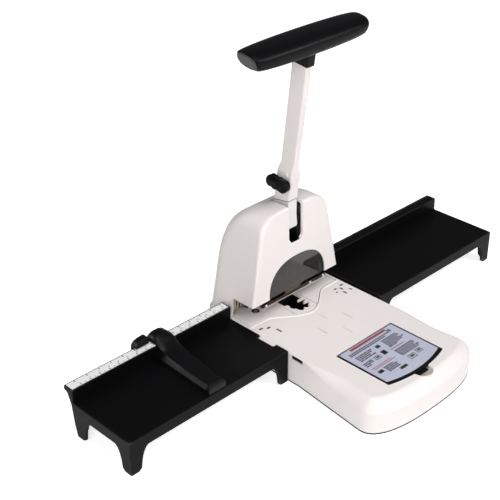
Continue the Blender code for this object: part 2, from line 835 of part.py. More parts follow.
def build_frame():
    """Two C-shaped side plates with flanges, cross plates, bolts and the two guide posts."""
    foot = deck_top + gap
    for side, name in ((-1, "frame_left_plate"), (1, "frame_right_plate")):
        outline = [(reach(frame_front_reach), frame_throat), (behind(frame_leg_front), frame_throat),
                   (behind(frame_leg_front), foot), (behind(frame_back), foot), (behind(frame_back), frame_top),
                   (reach(frame_front_reach), frame_top)]
        ends = sorted((side * frame_half, side * (frame_half - frame_thickness)))
        plate = outline_solid(name, outline, ends, "X", "dark_steel")
        flange_ends = sorted((side * (frame_half - frame_thickness / 2), side * (frame_half - frame_thickness
                                                                               - frame_flange)))
        flange = block(name + "_flange", flange_ends, (behind(frame_leg_front), behind(frame_back)),
                       (foot, foot + frame_thickness))
        combine(plate, [flange], "UNION")
        bolt_place = (side * (frame_half - frame_flange / 2 - frame_thickness), behind(frame_bolt_y))
        cuts = [cylinder(name + "_bolt_way", bolt_radius + gap, (foot - overrun, foot + frame_thickness + overrun),
                         bolt_place, "Z", segments=14),
                cylinder(name + "_axle_way", axle_radius + gap,
                         sorted((side * (frame_half - frame_thickness - overrun), side * (frame_half + overrun))),
                         (behind(pivot_back), pivot_z), "X", segments=24)]
        combine(plate, cuts)

    for side, hand in ((-1, "left"), (1, "right")):
        place = (side * (frame_half - frame_flange / 2 - frame_thickness), behind(frame_bolt_y))
        seat = foot + frame_thickness + gap
        headed_pin(f"frame_bolt_{hand}", bolt_head, (seat, seat + bolt_head_height), bolt_radius,
                   (deck_top - die_plate_thickness - gap - bolt_depth + gap * 2, seat + gap), place, "Z",
                   "bright_steel", head_sides=6)

    inner = frame_half - frame_thickness - gap
    stripper_top = stripper_bottom + stripper_thickness
    stripper = block("stripper_plate", (-stripper_half, stripper_half), (reach(stripper_front_reach),
                                                                        behind(stripper_back)),
                     (stripper_bottom, stripper_top), "brass")
    cuts = [block("stripper_hole", (-punch_half - die_clearance, punch_half + die_clearance),
                  (reach(punch_front_reach + die_clearance), reach(punch_back_reach - die_clearance)),
                  (stripper_bottom - overrun, stripper_top + overrun))]
    for side in (-1, 1):
        cuts.append(cylinder(f"stripper_post_way_{side + 1}", post_radius + gap,
                             (stripper_bottom - overrun, stripper_top + overrun), (side * post_x, reach(post_reach)),
                             "Z", segments=18))
    combine(stripper, cuts)
    block("paper_stop_plate", (-inner, inner), (behind(stripper_back) - stop_plate_thickness, behind(stripper_back)),
          (foot, stripper_bottom - gap), "dark_steel")

    bridge_z = frame_top - bridge_thickness - gap
    bridge = block("frame_bridge", (-inner, inner), (reach(frame_front_reach), behind(frame_back)),
                   (bridge_z, bridge_z + bridge_thickness), "dark_steel")
    cuts = [block("bridge_slot", (-bridge_slot_half, bridge_slot_half),
                  (reach(frame_front_reach) - overrun, behind(bridge_slot_back)),
                  (bridge_z - overrun, bridge_z + bridge_thickness + overrun))]
    for side in (-1, 1):
        cuts.append(cylinder(f"bridge_post_way_{side + 1}", post_radius + gap,
                             (bridge_z - overrun, bridge_z + bridge_thickness + overrun),
                             (side * post_x, reach(post_reach)), "Z", segments=18))
    combine(bridge, cuts)
    tie = block("frame_rear_tie", (-frame_half, frame_half),
                (behind(frame_back) + gap, behind(frame_back) + gap + tie_thickness),
                (tie_bottom, tie_bottom + tie_height), "dark_steel")
    combine(tie, [cylinder(f"tie_screw_way_{side + 1}", screw_hole,
                           (behind(frame_back) - overrun, behind(frame_back) + tie_thickness + overrun),
                           (side * hood_screw_x, hood_screw_z), "Y", segments=14) for side in (-1, 1)])

    for side, hand in ((-1, "left"), (1, "right")):
        place = (side * post_x, reach(post_reach))
        post = cylinder(f"guide_post_{hand}", post_radius, (stripper_bottom + gap, bridge_z + bridge_thickness), place,
                        "Z", "bright_steel", segments=18)
        collar = cylinder(f"post_collar_{hand}", post_collar,
                          (stripper_top + gap, stripper_top + gap + post_collar_height), place, "Z", segments=18)
        combine(post, [collar], "UNION")


def build_springs():
    """Two return springs round the guide posts, each one unbroken coil under the ram."""
    start = stripper_bottom + stripper_thickness + gap + post_collar_height + gap + spring_wire
    end = ram_bottom - gap - spring_wire
    pitch = (end - start) / spring_turns
    for side, hand in ((-1, "left"), (1, "right")):
        curve = bpy.data.curves.new(f"return_spring_{hand}", "CURVE")
        curve.dimensions = "3D"
        curve.bevel_depth = spring_wire
        curve.bevel_resolution = 1
        curve.use_fill_caps = True
        spline = curve.splines.new("POLY")
        count = spring_turns * spring_points
        spline.points.add(count)
        for i in range(count + 1):
            turn = 2 * math.pi * i / spring_points
            spline.points[i].co = (side * post_x + spring_radius * math.cos(turn),
                                   reach(post_reach) + spring_radius * math.sin(turn), start + pitch * i / spring_points, 1)
        guide = bpy.data.objects.new(curve.name, curve)
        bpy.context.scene.collection.objects.link(guide)
        bpy.context.view_layer.update()
        mesh = bpy.data.meshes.new_from_object(guide.evaluated_get(bpy.context.evaluated_depsgraph_get()))
        bpy.data.objects.remove(guide, do_unlink=True)
        bm = bmesh.new()
        bm.from_mesh(mesh)
        bmesh.ops.remove_doubles(bm, verts=bm.verts, dist=gap / 100)
        bpy.data.meshes.remove(mesh)
        coil = mesh_from(curve.name, bm)
        coil.shade_smooth()
        add_object(curve.name, coil, "bright_steel")
    print("return spring: gap between turns", round((pitch - 2 * spring_wire) * 1000, 2), "mm")


def build_ram():
    """Ram block with its yoke and punch holder, the punch with its bracket, and the screws."""
    top = ram_bottom + ram_height
    ram = block("ram", (-ram_half, ram_half), (reach(ram_front_reach), reach(ram_back_reach)), (ram_bottom, top),
                "dark_steel")
    joins = [block("punch_holder", (-holder_half, holder_half), (reach(ram_front_reach), reach(ram_back_reach)),
                   (holder_bottom, ram_bottom + ram_height / 2))]
    for side in (-1, 1):
        ends = sorted((side * yoke_inner, side * (yoke_inner + yoke_thickness)))
        joins.append(block(f"yoke_{side + 1}", ends, (reach(yoke_front_reach), reach(yoke_back_reach)),
                           (top - ram_height / 2, yoke_top)))
    combine(ram, joins, "UNION")
    cuts = []
    pin_path = yoke_pin_path()
    reaches = [place[0] for place in pin_path]
    slot_half_height = yoke_pin_radius + yoke_pin_play
    pin_z = pin_path[0][1]
    slot = block("yoke_slot", (-yoke_inner - yoke_thickness - overrun, yoke_inner + yoke_thickness + overrun),
                 (reach(max(reaches) + yoke_pin_radius + gap), reach(min(reaches) - yoke_pin_radius - gap)),
                 (pin_z - slot_half_height, pin_z + slot_half_height))
    cuts.append(slot)
    for side in (-1, 1):
        cuts.append(cylinder(f"ram_post_way_{side + 1}", post_radius + gap, (ram_bottom - overrun, top + overrun),
                             (side * post_x, reach(post_reach)), "Z", segments=20))
        cuts.append(cylinder(f"punch_screw_bore_{side + 1}", punch_screw_radius + gap,
                             (reach(ram_front_reach) - overrun, reach(ram_front_reach) + punch_screw_length),
                             (side * bracket_hole_x, bracket_hole_z), "Y", segments=12))
    combine(ram, cuts)

    face = reach(ram_front_reach) - gap
    punch = block("punch", (-punch_half, punch_half), (face - bracket_thickness, reach(punch_back_reach)),
                  (punch_bottom, punch_bottom + punch_height), "bright_steel")
    bracket = block("punch_bracket", (-bracket_half, bracket_half), (face - bracket_thickness, face),
                    (punch_bottom + punch_height / 2, bracket_top))
    combine(punch, [bracket], "UNION")
    throat = cylinder("punch_hollow", punch_half * 0.8, (punch_bottom - overrun, punch_bottom + punch_height * 0.6),
                      (0, reach(punch_back_reach - punch_half * 0.2)), "Z", segments=24)
    ways = [cylinder(f"bracket_hole_{side + 1}", punch_screw_radius + gap, (face - bracket_thickness - overrun,
                                                                          face + overrun / 4),
                     (side * bracket_hole_x, bracket_hole_z), "Y", segments=12) for side in (-1, 1)]
    combine(punch, [throat] + ways)
    screws = []
    for side, hand in ((-1, "left"), (1, "right")):
        place = (side * bracket_hole_x, bracket_hole_z)
        seat = face - bracket_thickness - gap
        screws.append(headed_pin(f"punch_screw_{hand}", punch_screw_head, (seat - punch_screw_head_height, seat),
                                 punch_screw_radius, (seat - punch_screw_head_height / 2,
                                                      reach(ram_front_reach) + punch_screw_length - gap), place, "Y",
                                 "bright_steel"))
    guide = empty("ram_guide", (0, reach(post_reach), ram_bottom))
    parent_all(guide, [ram, punch] + screws)


def yoke_pin_path():
    """Places of the lever's cross pin through the stroke: distance in front of the fence face, and z."""
    places = []
    for step in range(9):
        angle = math.radians(pin_angle - lever_stroke * step / 8)
        places.append((pin_arm * math.cos(angle) - pivot_back, pivot_z + pin_arm * math.sin(angle)))
    return places


def lever_frame():
    """Matrix from the lever's own frame, upright at the pivot, to the world at rest."""
    turn = Matrix.Rotation(math.radians(lever_lean), 4, "X")
    return Matrix.Translation((0, behind(pivot_back), pivot_z)) @ turn


def build_lever():
    """Inner lever, axle and clips, cross pin, upper arm, rivets, knob, neck, grip and its caps."""
    turn_back = math.radians(lever_lean)
    pin_world = (-pin_arm * math.cos(math.radians(pin_angle)), pin_arm * math.sin(math.radians(pin_angle)))
    pin_y = pin_world[0] * math.cos(turn_back) + pin_world[1] * math.sin(turn_back)
    pin_z = -pin_world[0] * math.sin(turn_back) + pin_world[1] * math.cos(turn_back)
    tang_front = socket_front - tang_inset - tang_clearance
    tang_back = socket_back - tang_inset - tang_clearance
    shoulder = socket_bottom - gap * 2
    shoulder_front = shoulder + socket_bottom_rise
    slack = gap * 2
    lower = [(-socket_front + slack, hub_radius * 0.2), (-socket_front + slack, shoulder_front),
             (socket_back - slack, shoulder)]
    lower += arc((0, 0), hub_radius, 20, -110, 9)
    inner = outline_solid("inner_lever", lower[::-1], (-inner_half, inner_half), "X", "bright_steel")
    tang = outline_solid("lever_tang", [(-tang_front, hub_radius), (-tang_front, tang_top), (tang_back, tang_top),
                                        (tang_back, hub_radius)][::-1], (-tang_half, tang_half), "X")
    combine(inner, [tang], "UNION")
    width = inner_half + overrun
    cuts = [cylinder("hub_bore", axle_radius + gap, (-width, width), (0, 0), "X", segments=24),
            cylinder("inner_pin_bore", yoke_pin_radius + gap, (-width, width), (pin_y, pin_z), "X", segments=16),
            cylinder("stud_bore", stud_radius + gap, (-width, width), (-arm_centre(), knob_up), "X", segments=16)]
    for i, up in enumerate((rivet_low, rivet_high)):
        cuts.append(cylinder(f"tang_rivet_bore_{i}", rivet_radius + gap, (-width, width),
                             (-arm_centre() - rivet_forward, up), "X", segments=14))
    combine(inner, cuts)

    pin_end = yoke_inner + yoke_thickness + yoke_pin_play
    cross_pin = cylinder("yoke_pin", yoke_pin_radius, (-pin_end, pin_end), (pin_y, pin_z), "X", "bright_steel",
                         segments=18)

    levels = [(socket_bottom - overrun * 2, socket_half, -socket_front, socket_back),
              (socket_top, socket_half, -socket_front, socket_back),
              ((socket_top + arm_start) / 2, (socket_half + arm_half) / 2, -socket_front, socket_back - tang_inset / 2),
              (arm_start, arm_half, -socket_front + tang_inset / 2, socket_back - tang_inset / 2),
              (arm_top, arm_half, -arm_front, arm_back)]
    loops = []
    for z, half, front, back in levels:
        corner = arm_half / 3
        loops.append([(x, y, z) for x, y in rounded_box(half, front, back, corner, corner, 2)])
    arm = loft_solid("upper_arm", loops, "off_white")
    below = outline_solid("arm_foot_cut", [(-socket_front - overrun, socket_bottom + socket_bottom_rise * 1.2),
                                           (socket_back + overrun, socket_bottom - socket_bottom_rise * 0.2),
                                           (socket_back + overrun, socket_bottom - overrun * 4),
                                           (-socket_front - overrun, socket_bottom - overrun * 4)],
                          (-socket_half - overrun, socket_half + overrun), "X")
    tang_room = block("tang_room", (-tang_half - tang_clearance, tang_half + tang_clearance),
                      (-tang_front - tang_clearance, tang_back + tang_clearance),
                      (socket_bottom - overrun * 2, tang_top + gap))
    cuts = [below, tang_room,
            cylinder("arm_stud_bore", stud_radius + gap, (-socket_half - overrun, socket_half + overrun),
                     (-arm_centre(), knob_up), "X", segments=16)]
    for i, up in enumerate((rivet_low, rivet_high)):
        cuts.append(cylinder(f"arm_rivet_bore_{i}", rivet_radius + gap, (-socket_half - overrun, socket_half + overrun),
                             (-arm_centre() - rivet_forward, up), "X", segments=14))
    combine(arm, cuts)

    rivets = [cylinder(f"arm_rivet_{name}", rivet_radius, (-socket_half - rivet_proud, socket_half + rivet_proud),
                       (-arm_centre() - rivet_forward, up), "X", "bright_steel", segments=14)
              for name, up in (("lower", rivet_low), ("upper", rivet_high))]

    neck = build_neck()
    grip, caps = build_grip()
    pieces = [inner, cross_pin, arm, neck, grip] + rivets + caps
    knob, stud = build_knob()
    holder = empty("lever_pivot", (0, 0, 0))
    knob_holder = empty("knob_axis", (0, -arm_centre(), knob_up))
    parent_all(knob_holder, [knob, stud])
    parent_all(holder, pieces + [knob_holder])
    holder.matrix_world = lever_frame()

    axle_reach = frame_half + axle_end
    cylinder("lever_axle", axle_radius, (-axle_reach, axle_reach), (behind(pivot_back), pivot_z), "X",
             "bright_steel", segments=24)
    for side, hand in ((-1, "left"), (1, "right")):
        ends = sorted((side * (frame_half + gap), side * (frame_half + gap + clip_thickness)))
        clip = cylinder(f"axle_clip_{hand}", clip_radius, ends, (behind(pivot_back), pivot_z), "X", "bright_steel",
                        segments=20)
        combine(clip, [cylinder(f"clip_way_{hand}", axle_radius + gap,
                                (ends[0] - overrun, ends[1] + overrun), (behind(pivot_back), pivot_z), "X",
                                segments=20)])


def arm_centre():
    """How far the arm's middle plane lies in front of the pivot, in the lever's own frame."""
    return (socket_front - socket_back) / 2


def rounded_box(half, front, back, front_corner, back_corner, steps):
    """Plan loop of a box with round corners, anticlockwise from the front right."""
    points = []
    corners = [((half - front_corner, front + front_corner), front_corner, -90),
               ((half - back_corner, back - back_corner), back_corner, 0),
               ((-half + back_corner, back - back_corner), back_corner, 90),
               ((-half + front_corner, front + front_corner), front_corner, 180)]
    for centre, radius, start in corners:
        points += arc(centre, radius, start, start + 90, steps)
    return points


def build_neck():
    """Socket that joins the arm to the grip, in the lever's own frame."""
    top = grip_centre_up - grip_half_height * 0.6
    neck = block("grip_neck", (-neck_half, neck_half), (-neck_front, neck_back), (neck_bottom, top), "black_grip",
                 bevel=gap * 2)
    recess = block("neck_arm_recess", (-arm_half - gap, arm_half + gap), (-arm_front - gap, arm_back + overrun),
                   (neck_bottom - overrun, arm_top + gap))
    combine(neck, [recess])
    return neck


def grip_section(share):
    """Half depth and half height of the grip at a share of its half length."""
    swell = math.sqrt(max(1 - share ** 2, 0.0))
    depth = grip_half_depth * (grip_tip_depth_share + (1 - grip_tip_depth_share) * swell)
    height = grip_half_height * (grip_tip_height_share + (1 - grip_tip_height_share) * swell)
    return depth, height


def grip_loop(share, size_share=1.0, beyond=0.0):
    """Section of the grip, or of a cap beyond its end; the ends slant in towards the bottom."""
    depth, height = grip_section(share)
    around = 16
    loop = []
    for i in range(around):
        turn = 2 * math.pi * i / around
        rise = height * superpower(math.sin(turn)) * size_share
        slant = grip_slant_share * (height - rise) / 2 * abs(share)
        loop.append((share * (grip_half_length + beyond - slant),
                     -grip_centre_forward + depth * superpower(math.cos(turn)) * size_share, grip_centre_up + rise))
    return loop


def build_grip():
    """Barrel-shaped handle along X and its two end caps, in the lever's own frame."""
    shares = [-1.0, -0.98, -0.93, -0.82, -0.6, -0.3, 0.0, 0.3, 0.6, 0.82, 0.93, 0.98, 1.0]
    grip = loft_solid("grip", [grip_loop(share) for share in shares], "black_grip")
    slot = block("grip_neck_room", (-neck_half - gap, neck_half + gap), (-neck_front - gap, neck_back + gap),
                 (grip_centre_up - grip_half_height - overrun, grip_centre_up - grip_half_height * 0.6 + gap))
    combine(grip, [slot])
    caps = []
    for side, hand in ((-1.0, "left"), (1.0, "right")):
        loops = [grip_loop(side, size, gap + cap_thickness * out) for out, size in ((0.0, 0.90), (0.6, 0.84), (1.0, 0.66))]
        caps.append(loft_solid(f"grip_cap_{hand}", loops, "black_plastic"))
    return grip, caps


def superpower(value):
    """Softens a sine or cosine so that a section comes out fuller than an ellipse."""
    return math.copysign(abs(value) ** 0.8, value)


def build_knob():
    """Two-lobed wing knob and its stud, in the lever's own frame, on the arm's left side."""
    start = -socket_half - knob_standoff
    lobe = knob_height / 2
    spread = knob_length / 2 - lobe
    points = []
    for centre, begin in ((spread, -75), (-spread, 105)):
        points += arc((centre - arm_centre(), knob_up), lobe, begin, begin + 150, 8)
        side = 1 if centre > 0 else -1
        points.append((-arm_centre(), knob_up + side * lobe * knob_waist_share))
    knob = outline_solid("wing_knob", points, (start - knob_thickness, start), "X", "black_plastic")
    stud_hole = cylinder("knob_bore", stud_radius + gap, (start - knob_thickness * 0.6, start + overrun),
                         (-arm_centre(), knob_up), "X", segments=16)
    add_bevel(knob, lobe / 6)
    combine(knob, [stud_hole])
    stud = cylinder("knob_stud", stud_radius, (start - knob_thickness * 0.6 + gap, socket_half + rivet_proud),
                    (-arm_centre(), knob_up), "X", "bright_steel", segments=16)
    return knob, stud


def hood_section(z, inset=0.0):
    """Half width, front and back of the hood at a height, with the plan radii of its corners."""
    top = hood_top - inset
    shoulder = hood_shoulder
    sweep = hood_back_sweep
    half = hood_bottom_half - (z - deck_top) * hood_slope_share - inset
    lift = max((z - (top - shoulder)) / shoulder, 0.0)
    half -= shoulder * hood_shoulder_share * (1 - math.sqrt(max(1 - lift ** 2, 0.0)))
    back_lift = max((z - (top - sweep)) / sweep, 0.0)
    back = hood_back - inset
    back -= hood_back_draw * (1 - max(1 - back_lift ** hood_back_power, 0.0) ** (1 / hood_back_power))
    share = (z - hood_overhang_z) / (hood_top - hood_overhang_z)
    front = -(hood_front_bottom + (hood_front_top - hood_front_bottom) * share) + inset
    nip = hood_front_radius * 0.6
    front_lift = max((z - (top - nip)) / nip, 0.0)
    front += nip * (1 - math.sqrt(max(1 - front_lift ** 2, 0.0)))
    return half, front, back


def hood_solid(name, inset, bottom, finish_name=None):
    """The hood's outer or inner solid, lofted through level sections."""
    top = hood_top - inset
    stations = [bottom, hood_overhang_z, (hood_overhang_z + top - hood_back_sweep) / 2]
    steps = 9
    for step in range(steps + 1):
        stations.append(top - hood_back_sweep * (1 - math.sin(math.pi / 2 * step / steps)))
    loops = []
    for z in stations:
        half, front, back = hood_section(z, inset)
        front_corner = max(hood_front_radius - inset, hood_front_radius / 3)
        back_corner = min(hood_back_radius - inset, (back - front - front_corner) * 0.8)
        loops.append([(x, fence_y + y, z) for x, y in
                      rounded_box(half, front, back, front_corner, back_corner, hood_corner_steps)])
    return loft_solid(name, loops, finish_name)


def build_hood():
    """Off-white hood with the lever slot, throat overhang and window, its pane and screws."""
    hood = hood_solid("hood", 0.0, deck_top + gap, "off_white")
    inner = hood_solid("hood_inner_space", hood_wall, deck_top - overrun)
    throat = block("hood_throat", (-hood_bottom_half - overrun, hood_bottom_half + overrun),
                   (reach(hood_front_bottom + overrun), behind(hood_wall_front)),
                   (deck_top - overrun, hood_overhang_z))
    slot_points = [(-slot_half, hood_top + overrun), (-slot_half, slot_bottom + slot_corner)]
    slot_points += arc((-slot_half + slot_corner, slot_bottom + slot_corner), slot_corner, 180, 270, 4)[1:]
    slot_points += arc((slot_half - slot_corner, slot_bottom + slot_corner), slot_corner, 270, 360, 4)
    slot_points.append((slot_half, hood_top + overrun))
    slot = outline_solid("lever_slot", slot_points, (reach(hood_front_bottom + overrun), behind(slot_back)), "Y")
    front_wall = (reach(hood_front_bottom + overrun), reach(hood_front_bottom - hood_wall - overrun / 2))
    window_cut = outline_solid("window_opening", window_outline(0.0, hood_overhang_z - overrun), front_wall, "Y")
    boss_ends = (behind(frame_back) + tie_thickness + gap * 3, behind(hood_back - hood_wall / 2))
    bosses = []
    cuts = []
    for side, hand in ((-1, "left"), (1, "right")):
        place = (side * hood_screw_x, hood_screw_z)
        bosses.append(cylinder(f"hood_boss_{side + 1}", boss_radius, boss_ends, place,
                               "Y", segments=16))
        cuts.append(cylinder(f"hood_screw_way_{side + 1}", screw_hole, (boss_ends[0] - overrun,
                                                                      boss_ends[1] + overrun), place, "Y",
                             segments=14))
        seat = behind(hood_back) + gap
        headed_pin(f"hood_screw_{hand}", screw_head, (seat, seat + screw_head_height), screw_shank,
                   (behind(frame_back) - gap, seat + gap), place, "Y", "bright_steel")
    combine(hood, [inner])
    combine(hood, bosses, "UNION")
    combine(hood, [throat, slot, window_cut] + cuts)

    share = hood_front_bottom - window_recess
    pane = outline_solid("smoked_window", window_outline(gap, hood_overhang_z + gap),
                         (reach(share), reach(share - window_thickness)), "Y", "smoked")
    lean = math.atan((hood_front_bottom - hood_front_top) / (hood_top - hood_overhang_z))
    turn = Matrix.Rotation(-lean, 4, "X")
    foot = Vector((0, reach(share), hood_overhang_z))
    bpy.context.view_layer.update()
    pane.matrix_world = Matrix.Translation(foot) @ turn @ Matrix.Translation(-foot) @ pane.matrix_world


def window_outline(shrink, bottom):
    """Arched outline of the window in the hood's front, (x, z)."""
    half = window_half - shrink
    rise = window_top - shrink - hood_overhang_z
    points = [(-half, bottom)]
    for step in range(window_steps + 1):
        turn = math.pi * (1 - step / window_steps)
        share = abs(math.cos(turn)) ** (2 / window_power)
        height = math.sin(turn) ** (2 / window_power) if 0 < step < window_steps else 0.0
        points.append((math.copysign(half * share, math.cos(turn)), hood_overhang_z + gap * 2 + (rise - gap * 2) * height))
    points.append((half, bottom))
    return points


def table_profile():
    """Outline of a side table seen along X, with its fence and its drawn-in heel: (y, z) points."""
    heel_head = fence_width * table_heel_back_share
    heel_foot = -fence_width * table_heel_foot_share
    top = table_top + fence_height
    chamfer = fence_lip / 5
    return [(reach(table_depth), 0), (behind(heel_foot), 0), (behind(heel_foot + (heel_head - heel_foot) / 2),
                                                              table_top / 3),
            (behind(heel_head), table_top - table_wall), (behind((heel_head + fence_width) / 2), top - fence_lip * 1.6),
            (behind(fence_width), top - fence_lip), (behind(fence_width), top - chamfer),
            (behind(fence_width - chamfer), top), (behind(chamfer), top), (behind(0), top - chamfer),
            (behind(0), table_top), (reach(table_depth - chamfer), table_top),
            (reach(table_depth), table_top - chamfer)]


def build_table(side, prefix):
    """A side table: a hollow black deck on four angled corner legs, with a fence along its back."""
    ends = sorted((side * table_inner, side * table_outer))
    table = outline_solid(prefix + "_table", table_profile(), ends, "X", "black_plastic")
    heel_head = fence_width * table_heel_back_share
    heel_foot = -fence_width * table_heel_foot_share
    room_ends = sorted((side * (table_inner + table_wall), side * (table_outer - table_wall)))
    room = outline_solid(prefix + "_table_room",
                         [(reach(table_depth - table_wall), -overrun), (behind(heel_foot - table_wall), -overrun),
                          (behind(heel_foot - table_wall + (heel_head - heel_foot) / 2), table_top / 3),
                          (behind(heel_head - table_wall), table_top - table_wall),
                          (reach(table_depth - table_wall), table_top - table_wall)], room_ends, "X")
    cuts = [room]
    low, high = table_inner, table_outer
    span = [(low + leg_foot, -overrun)] + leg_curve(low, 1) + leg_curve(high, -1)[::-1] + [(high - leg_foot, -overrun)]
    gate = [(side * x, z) for x, z in span]
    cuts.append(outline_solid(prefix + "_front_gate", gate, (reach(table_depth + overrun), behind(fence_width + overrun)),
                              "Y"))
    back = behind(heel_foot)
    front = reach(table_depth)
    span = [(front + leg_foot, -overrun)] + leg_curve(front, 1) + leg_curve(back, -1)[::-1] + [(back - leg_foot,
                                                                                             -overrun)]
    cuts.append(outline_solid(prefix + "_end_gate", span, (ends[0] - overrun, ends[1] + overrun), "X"))
    notch_ends = sorted((side * (table_inner - overrun), side * (tongue_reach + gap)))
    cuts.append(block(prefix + "_tongue_notch", notch_ends,
                      (reach(tongue_front + gap), reach(tongue_front - tongue_length - gap)),
                      (deck_top - tongue_thickness - gap, table_top + overrun)))
    combine(table, cuts)
    pegs = []
    for i, forward in enumerate((peg_front, peg_back)):
        peg_ends = sorted((side * (table_inner - peg_length), side * (table_inner + table_wall / 2)))
        pegs.append(cylinder(f"{prefix}_peg_{i}", peg_radius, peg_ends, (reach(forward), peg_z), "X", segments=14))
    combine(table, pegs, "UNION")
    return table


def leg_curve(edge, direction):
    """Curved inner side of a leg, from its foot up to the skirt: (place, z) points."""
    points = []
    for step in range(leg_arc_steps + 1):
        share = step / leg_arc_steps
        width = leg_foot + (leg_head - leg_foot) * (1 - math.cos(math.pi / 2 * share))
        points.append((edge + direction * width, skirt_bottom * math.sin(math.pi / 2 * share)))
    return points


def build_tables():
    """Both side tables, and the ruler and side stop on the left fence."""
    for side, prefix in ((-1, "left"), (1, "right")):
        table = build_table(side, prefix)
        slide = empty(f"{prefix}_table_slide", (side * table_inner, fence_y, 0))
        movers = [table]
        if side < 0:
            top = table_top + fence_height + gap
            ruler = block("left_ruler", (-table_outer + ruler_inset, -table_inner - ruler_inset),
                          (behind(ruler_inset), behind(fence_width - ruler_inset)), (top, top + ruler_thickness),
                          "ruler_white")
            movers += [ruler, build_side_stop(top + ruler_thickness)]
        parent_all(slide, movers)


def build_side_stop(ruler_top):
    """The stop that slides along the left fence: saddle, bar with its front lip, and thumb latch."""
    left = -stop_x - stop_half
    right = -stop_x + stop_half
    floor = table_top + stop_play
    shoulder = stop_half * 0.7
    crown = [(left, floor), (left, stop_top - shoulder)]
    crown += arc((left + shoulder, stop_top - shoulder), shoulder, 180, 90, 5)[1:]
    crown += [(right - shoulder, stop_top - gap), (right - shoulder * 0.3, stop_top - shoulder * 0.45),
              (right, stop_top - shoulder * 1.2), (right, floor)]
    saddle_ends = (reach(stop_wall + stop_play), behind(fence_width + stop_wall + stop_play))
    stop = outline_solid("side_stop", crown, saddle_ends, "Y", "black_plastic")
    top = floor + stop_bar_height
    front = reach(table_depth - stop_bar_inset)
    bar_points = [(-stop_x - stop_bar_back_half, reach(stop_play)), (-stop_x - stop_bar_lean - stop_bar_front_half, front),
                  (-stop_x - stop_bar_lean + stop_bar_front_half, front), (-stop_x + stop_bar_back_half, reach(stop_play))]
    bar = outline_solid("stop_bar", bar_points, (floor, top), "Z")
    curl_ends = (-stop_x - stop_bar_lean - stop_bar_front_half + stop_curl, -stop_x - stop_bar_lean + stop_bar_front_half
                 - stop_curl)
    curl = cylinder("stop_curl", stop_curl, curl_ends, (front, top - stop_curl), "X", segments=16)
    combine(stop, [bar, curl], "UNION")
    channel = block("stop_channel", (left - overrun, right + overrun), (reach(stop_play), behind(fence_width + stop_play)),
                    (table_top - overrun, ruler_top + stop_play))
    rear = block("stop_rear_cut", (left - overrun, right + overrun), (behind(stop_play), saddle_ends[1] + overrun),
                 (floor - overrun, table_top + fence_height / 2))
    combine(stop, [channel, rear])

    low = ruler_top + stop_play
    end = left - gap
    foot = low - latch_drop
    hook = [(end, foot), (end, low + latch_rise), (end - latch_length * 0.45, low + latch_rise * 0.94),
            (end - latch_length * 0.8, low + latch_rise * 0.72), (end - latch_length, low + latch_rise * 0.25),
            (end - latch_length, foot)]
    latch = outline_solid("stop_latch", hook[::-1], (behind(latch_front), saddle_ends[1]), "Y", "black_plastic")
    combine(latch, [block("latch_channel", (end - latch_length - overrun, end + overrun),
                          (reach(overrun), behind(fence_width + stop_play)), (foot - overrun, low))])
    slide = empty("side_stop_slide", (-stop_x, fence_y, ruler_top))
    parent_all(slide, [stop, latch])
    return slide


def main():
    """Builds every piece."""
    clear_scene()
    build_base_shell()
    build_underside()
    build_storage()
    build_bed()
    build_die_plate()
    build_chip_drawer()
    build_frame()
    build_springs()
    build_ram()
    build_lever()
    build_hood()
    build_tables()


main()
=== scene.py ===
"""Looks of a hand-lever corner rounder: nosed base, hooded head, lever, side tables, side stop and studio."""
import logging
import math
from dataclasses import dataclass, field
from enum import Enum
from typing import Iterable, Sequence

import bmesh
import bpy
from mathutils import Matrix, Vector


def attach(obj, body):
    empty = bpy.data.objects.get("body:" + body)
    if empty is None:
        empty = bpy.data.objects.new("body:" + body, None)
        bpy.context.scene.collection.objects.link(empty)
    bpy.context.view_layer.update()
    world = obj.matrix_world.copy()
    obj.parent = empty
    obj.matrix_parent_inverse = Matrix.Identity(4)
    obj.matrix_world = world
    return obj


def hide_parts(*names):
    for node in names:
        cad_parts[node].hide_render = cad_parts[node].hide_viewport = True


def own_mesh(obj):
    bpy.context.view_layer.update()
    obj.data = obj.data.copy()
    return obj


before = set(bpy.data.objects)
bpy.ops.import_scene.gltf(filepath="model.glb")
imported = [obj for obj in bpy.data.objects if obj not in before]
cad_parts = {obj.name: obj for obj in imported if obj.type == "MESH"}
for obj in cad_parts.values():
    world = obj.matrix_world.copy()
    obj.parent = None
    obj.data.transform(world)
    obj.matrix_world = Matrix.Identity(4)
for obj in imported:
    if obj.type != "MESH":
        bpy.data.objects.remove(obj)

logging.basicConfig(level=logging.INFO, format="%(message)s")
log = logging.getLogger("corner_rounder")

MM = 0.001
FENCE_Y = 74.5
DECK_TOP = 31.0
TABLE_DEPTH = 72.8
GAP = 0.3
PIVOT_BACK = 3.0
PIVOT_Z = 106.0
LEVER_LEAN = 7.7
PEG_REACHES = (60.0, 15.0)
PEG_Z = 12.0
PEG_RADIUS = 3.0
TONGUE_END = 67.2
TONGUE_FRONT = 58.0
TONGUE_BACK = 38.0
TONGUE_BOTTOM = 28.2

# Mesh limits: angles in degrees, lengths in metres
SHARP_ANGLE = 32.0
STEEP_ANGLE = 50.0
FLAT_ANGLE = 0.5
WELD = 0.00002
ON_PLANE = 0.000001
LEVEL_NORMAL = 0.9999
NORMAL_WEIGHT = 80
STRAIGHT_BEND = 3.13
SIDE_SHARE = 0.49
COIL_STEPS = 28
WIRE_STEPS = 12
HEAD_STEPS = 32
RECESS_SHARES = (1.15, 0.26)

# Shader limits
RAISED_FROM = 0.515
SUNK_FROM = 0.485
COARSE_SHARE = 0.35

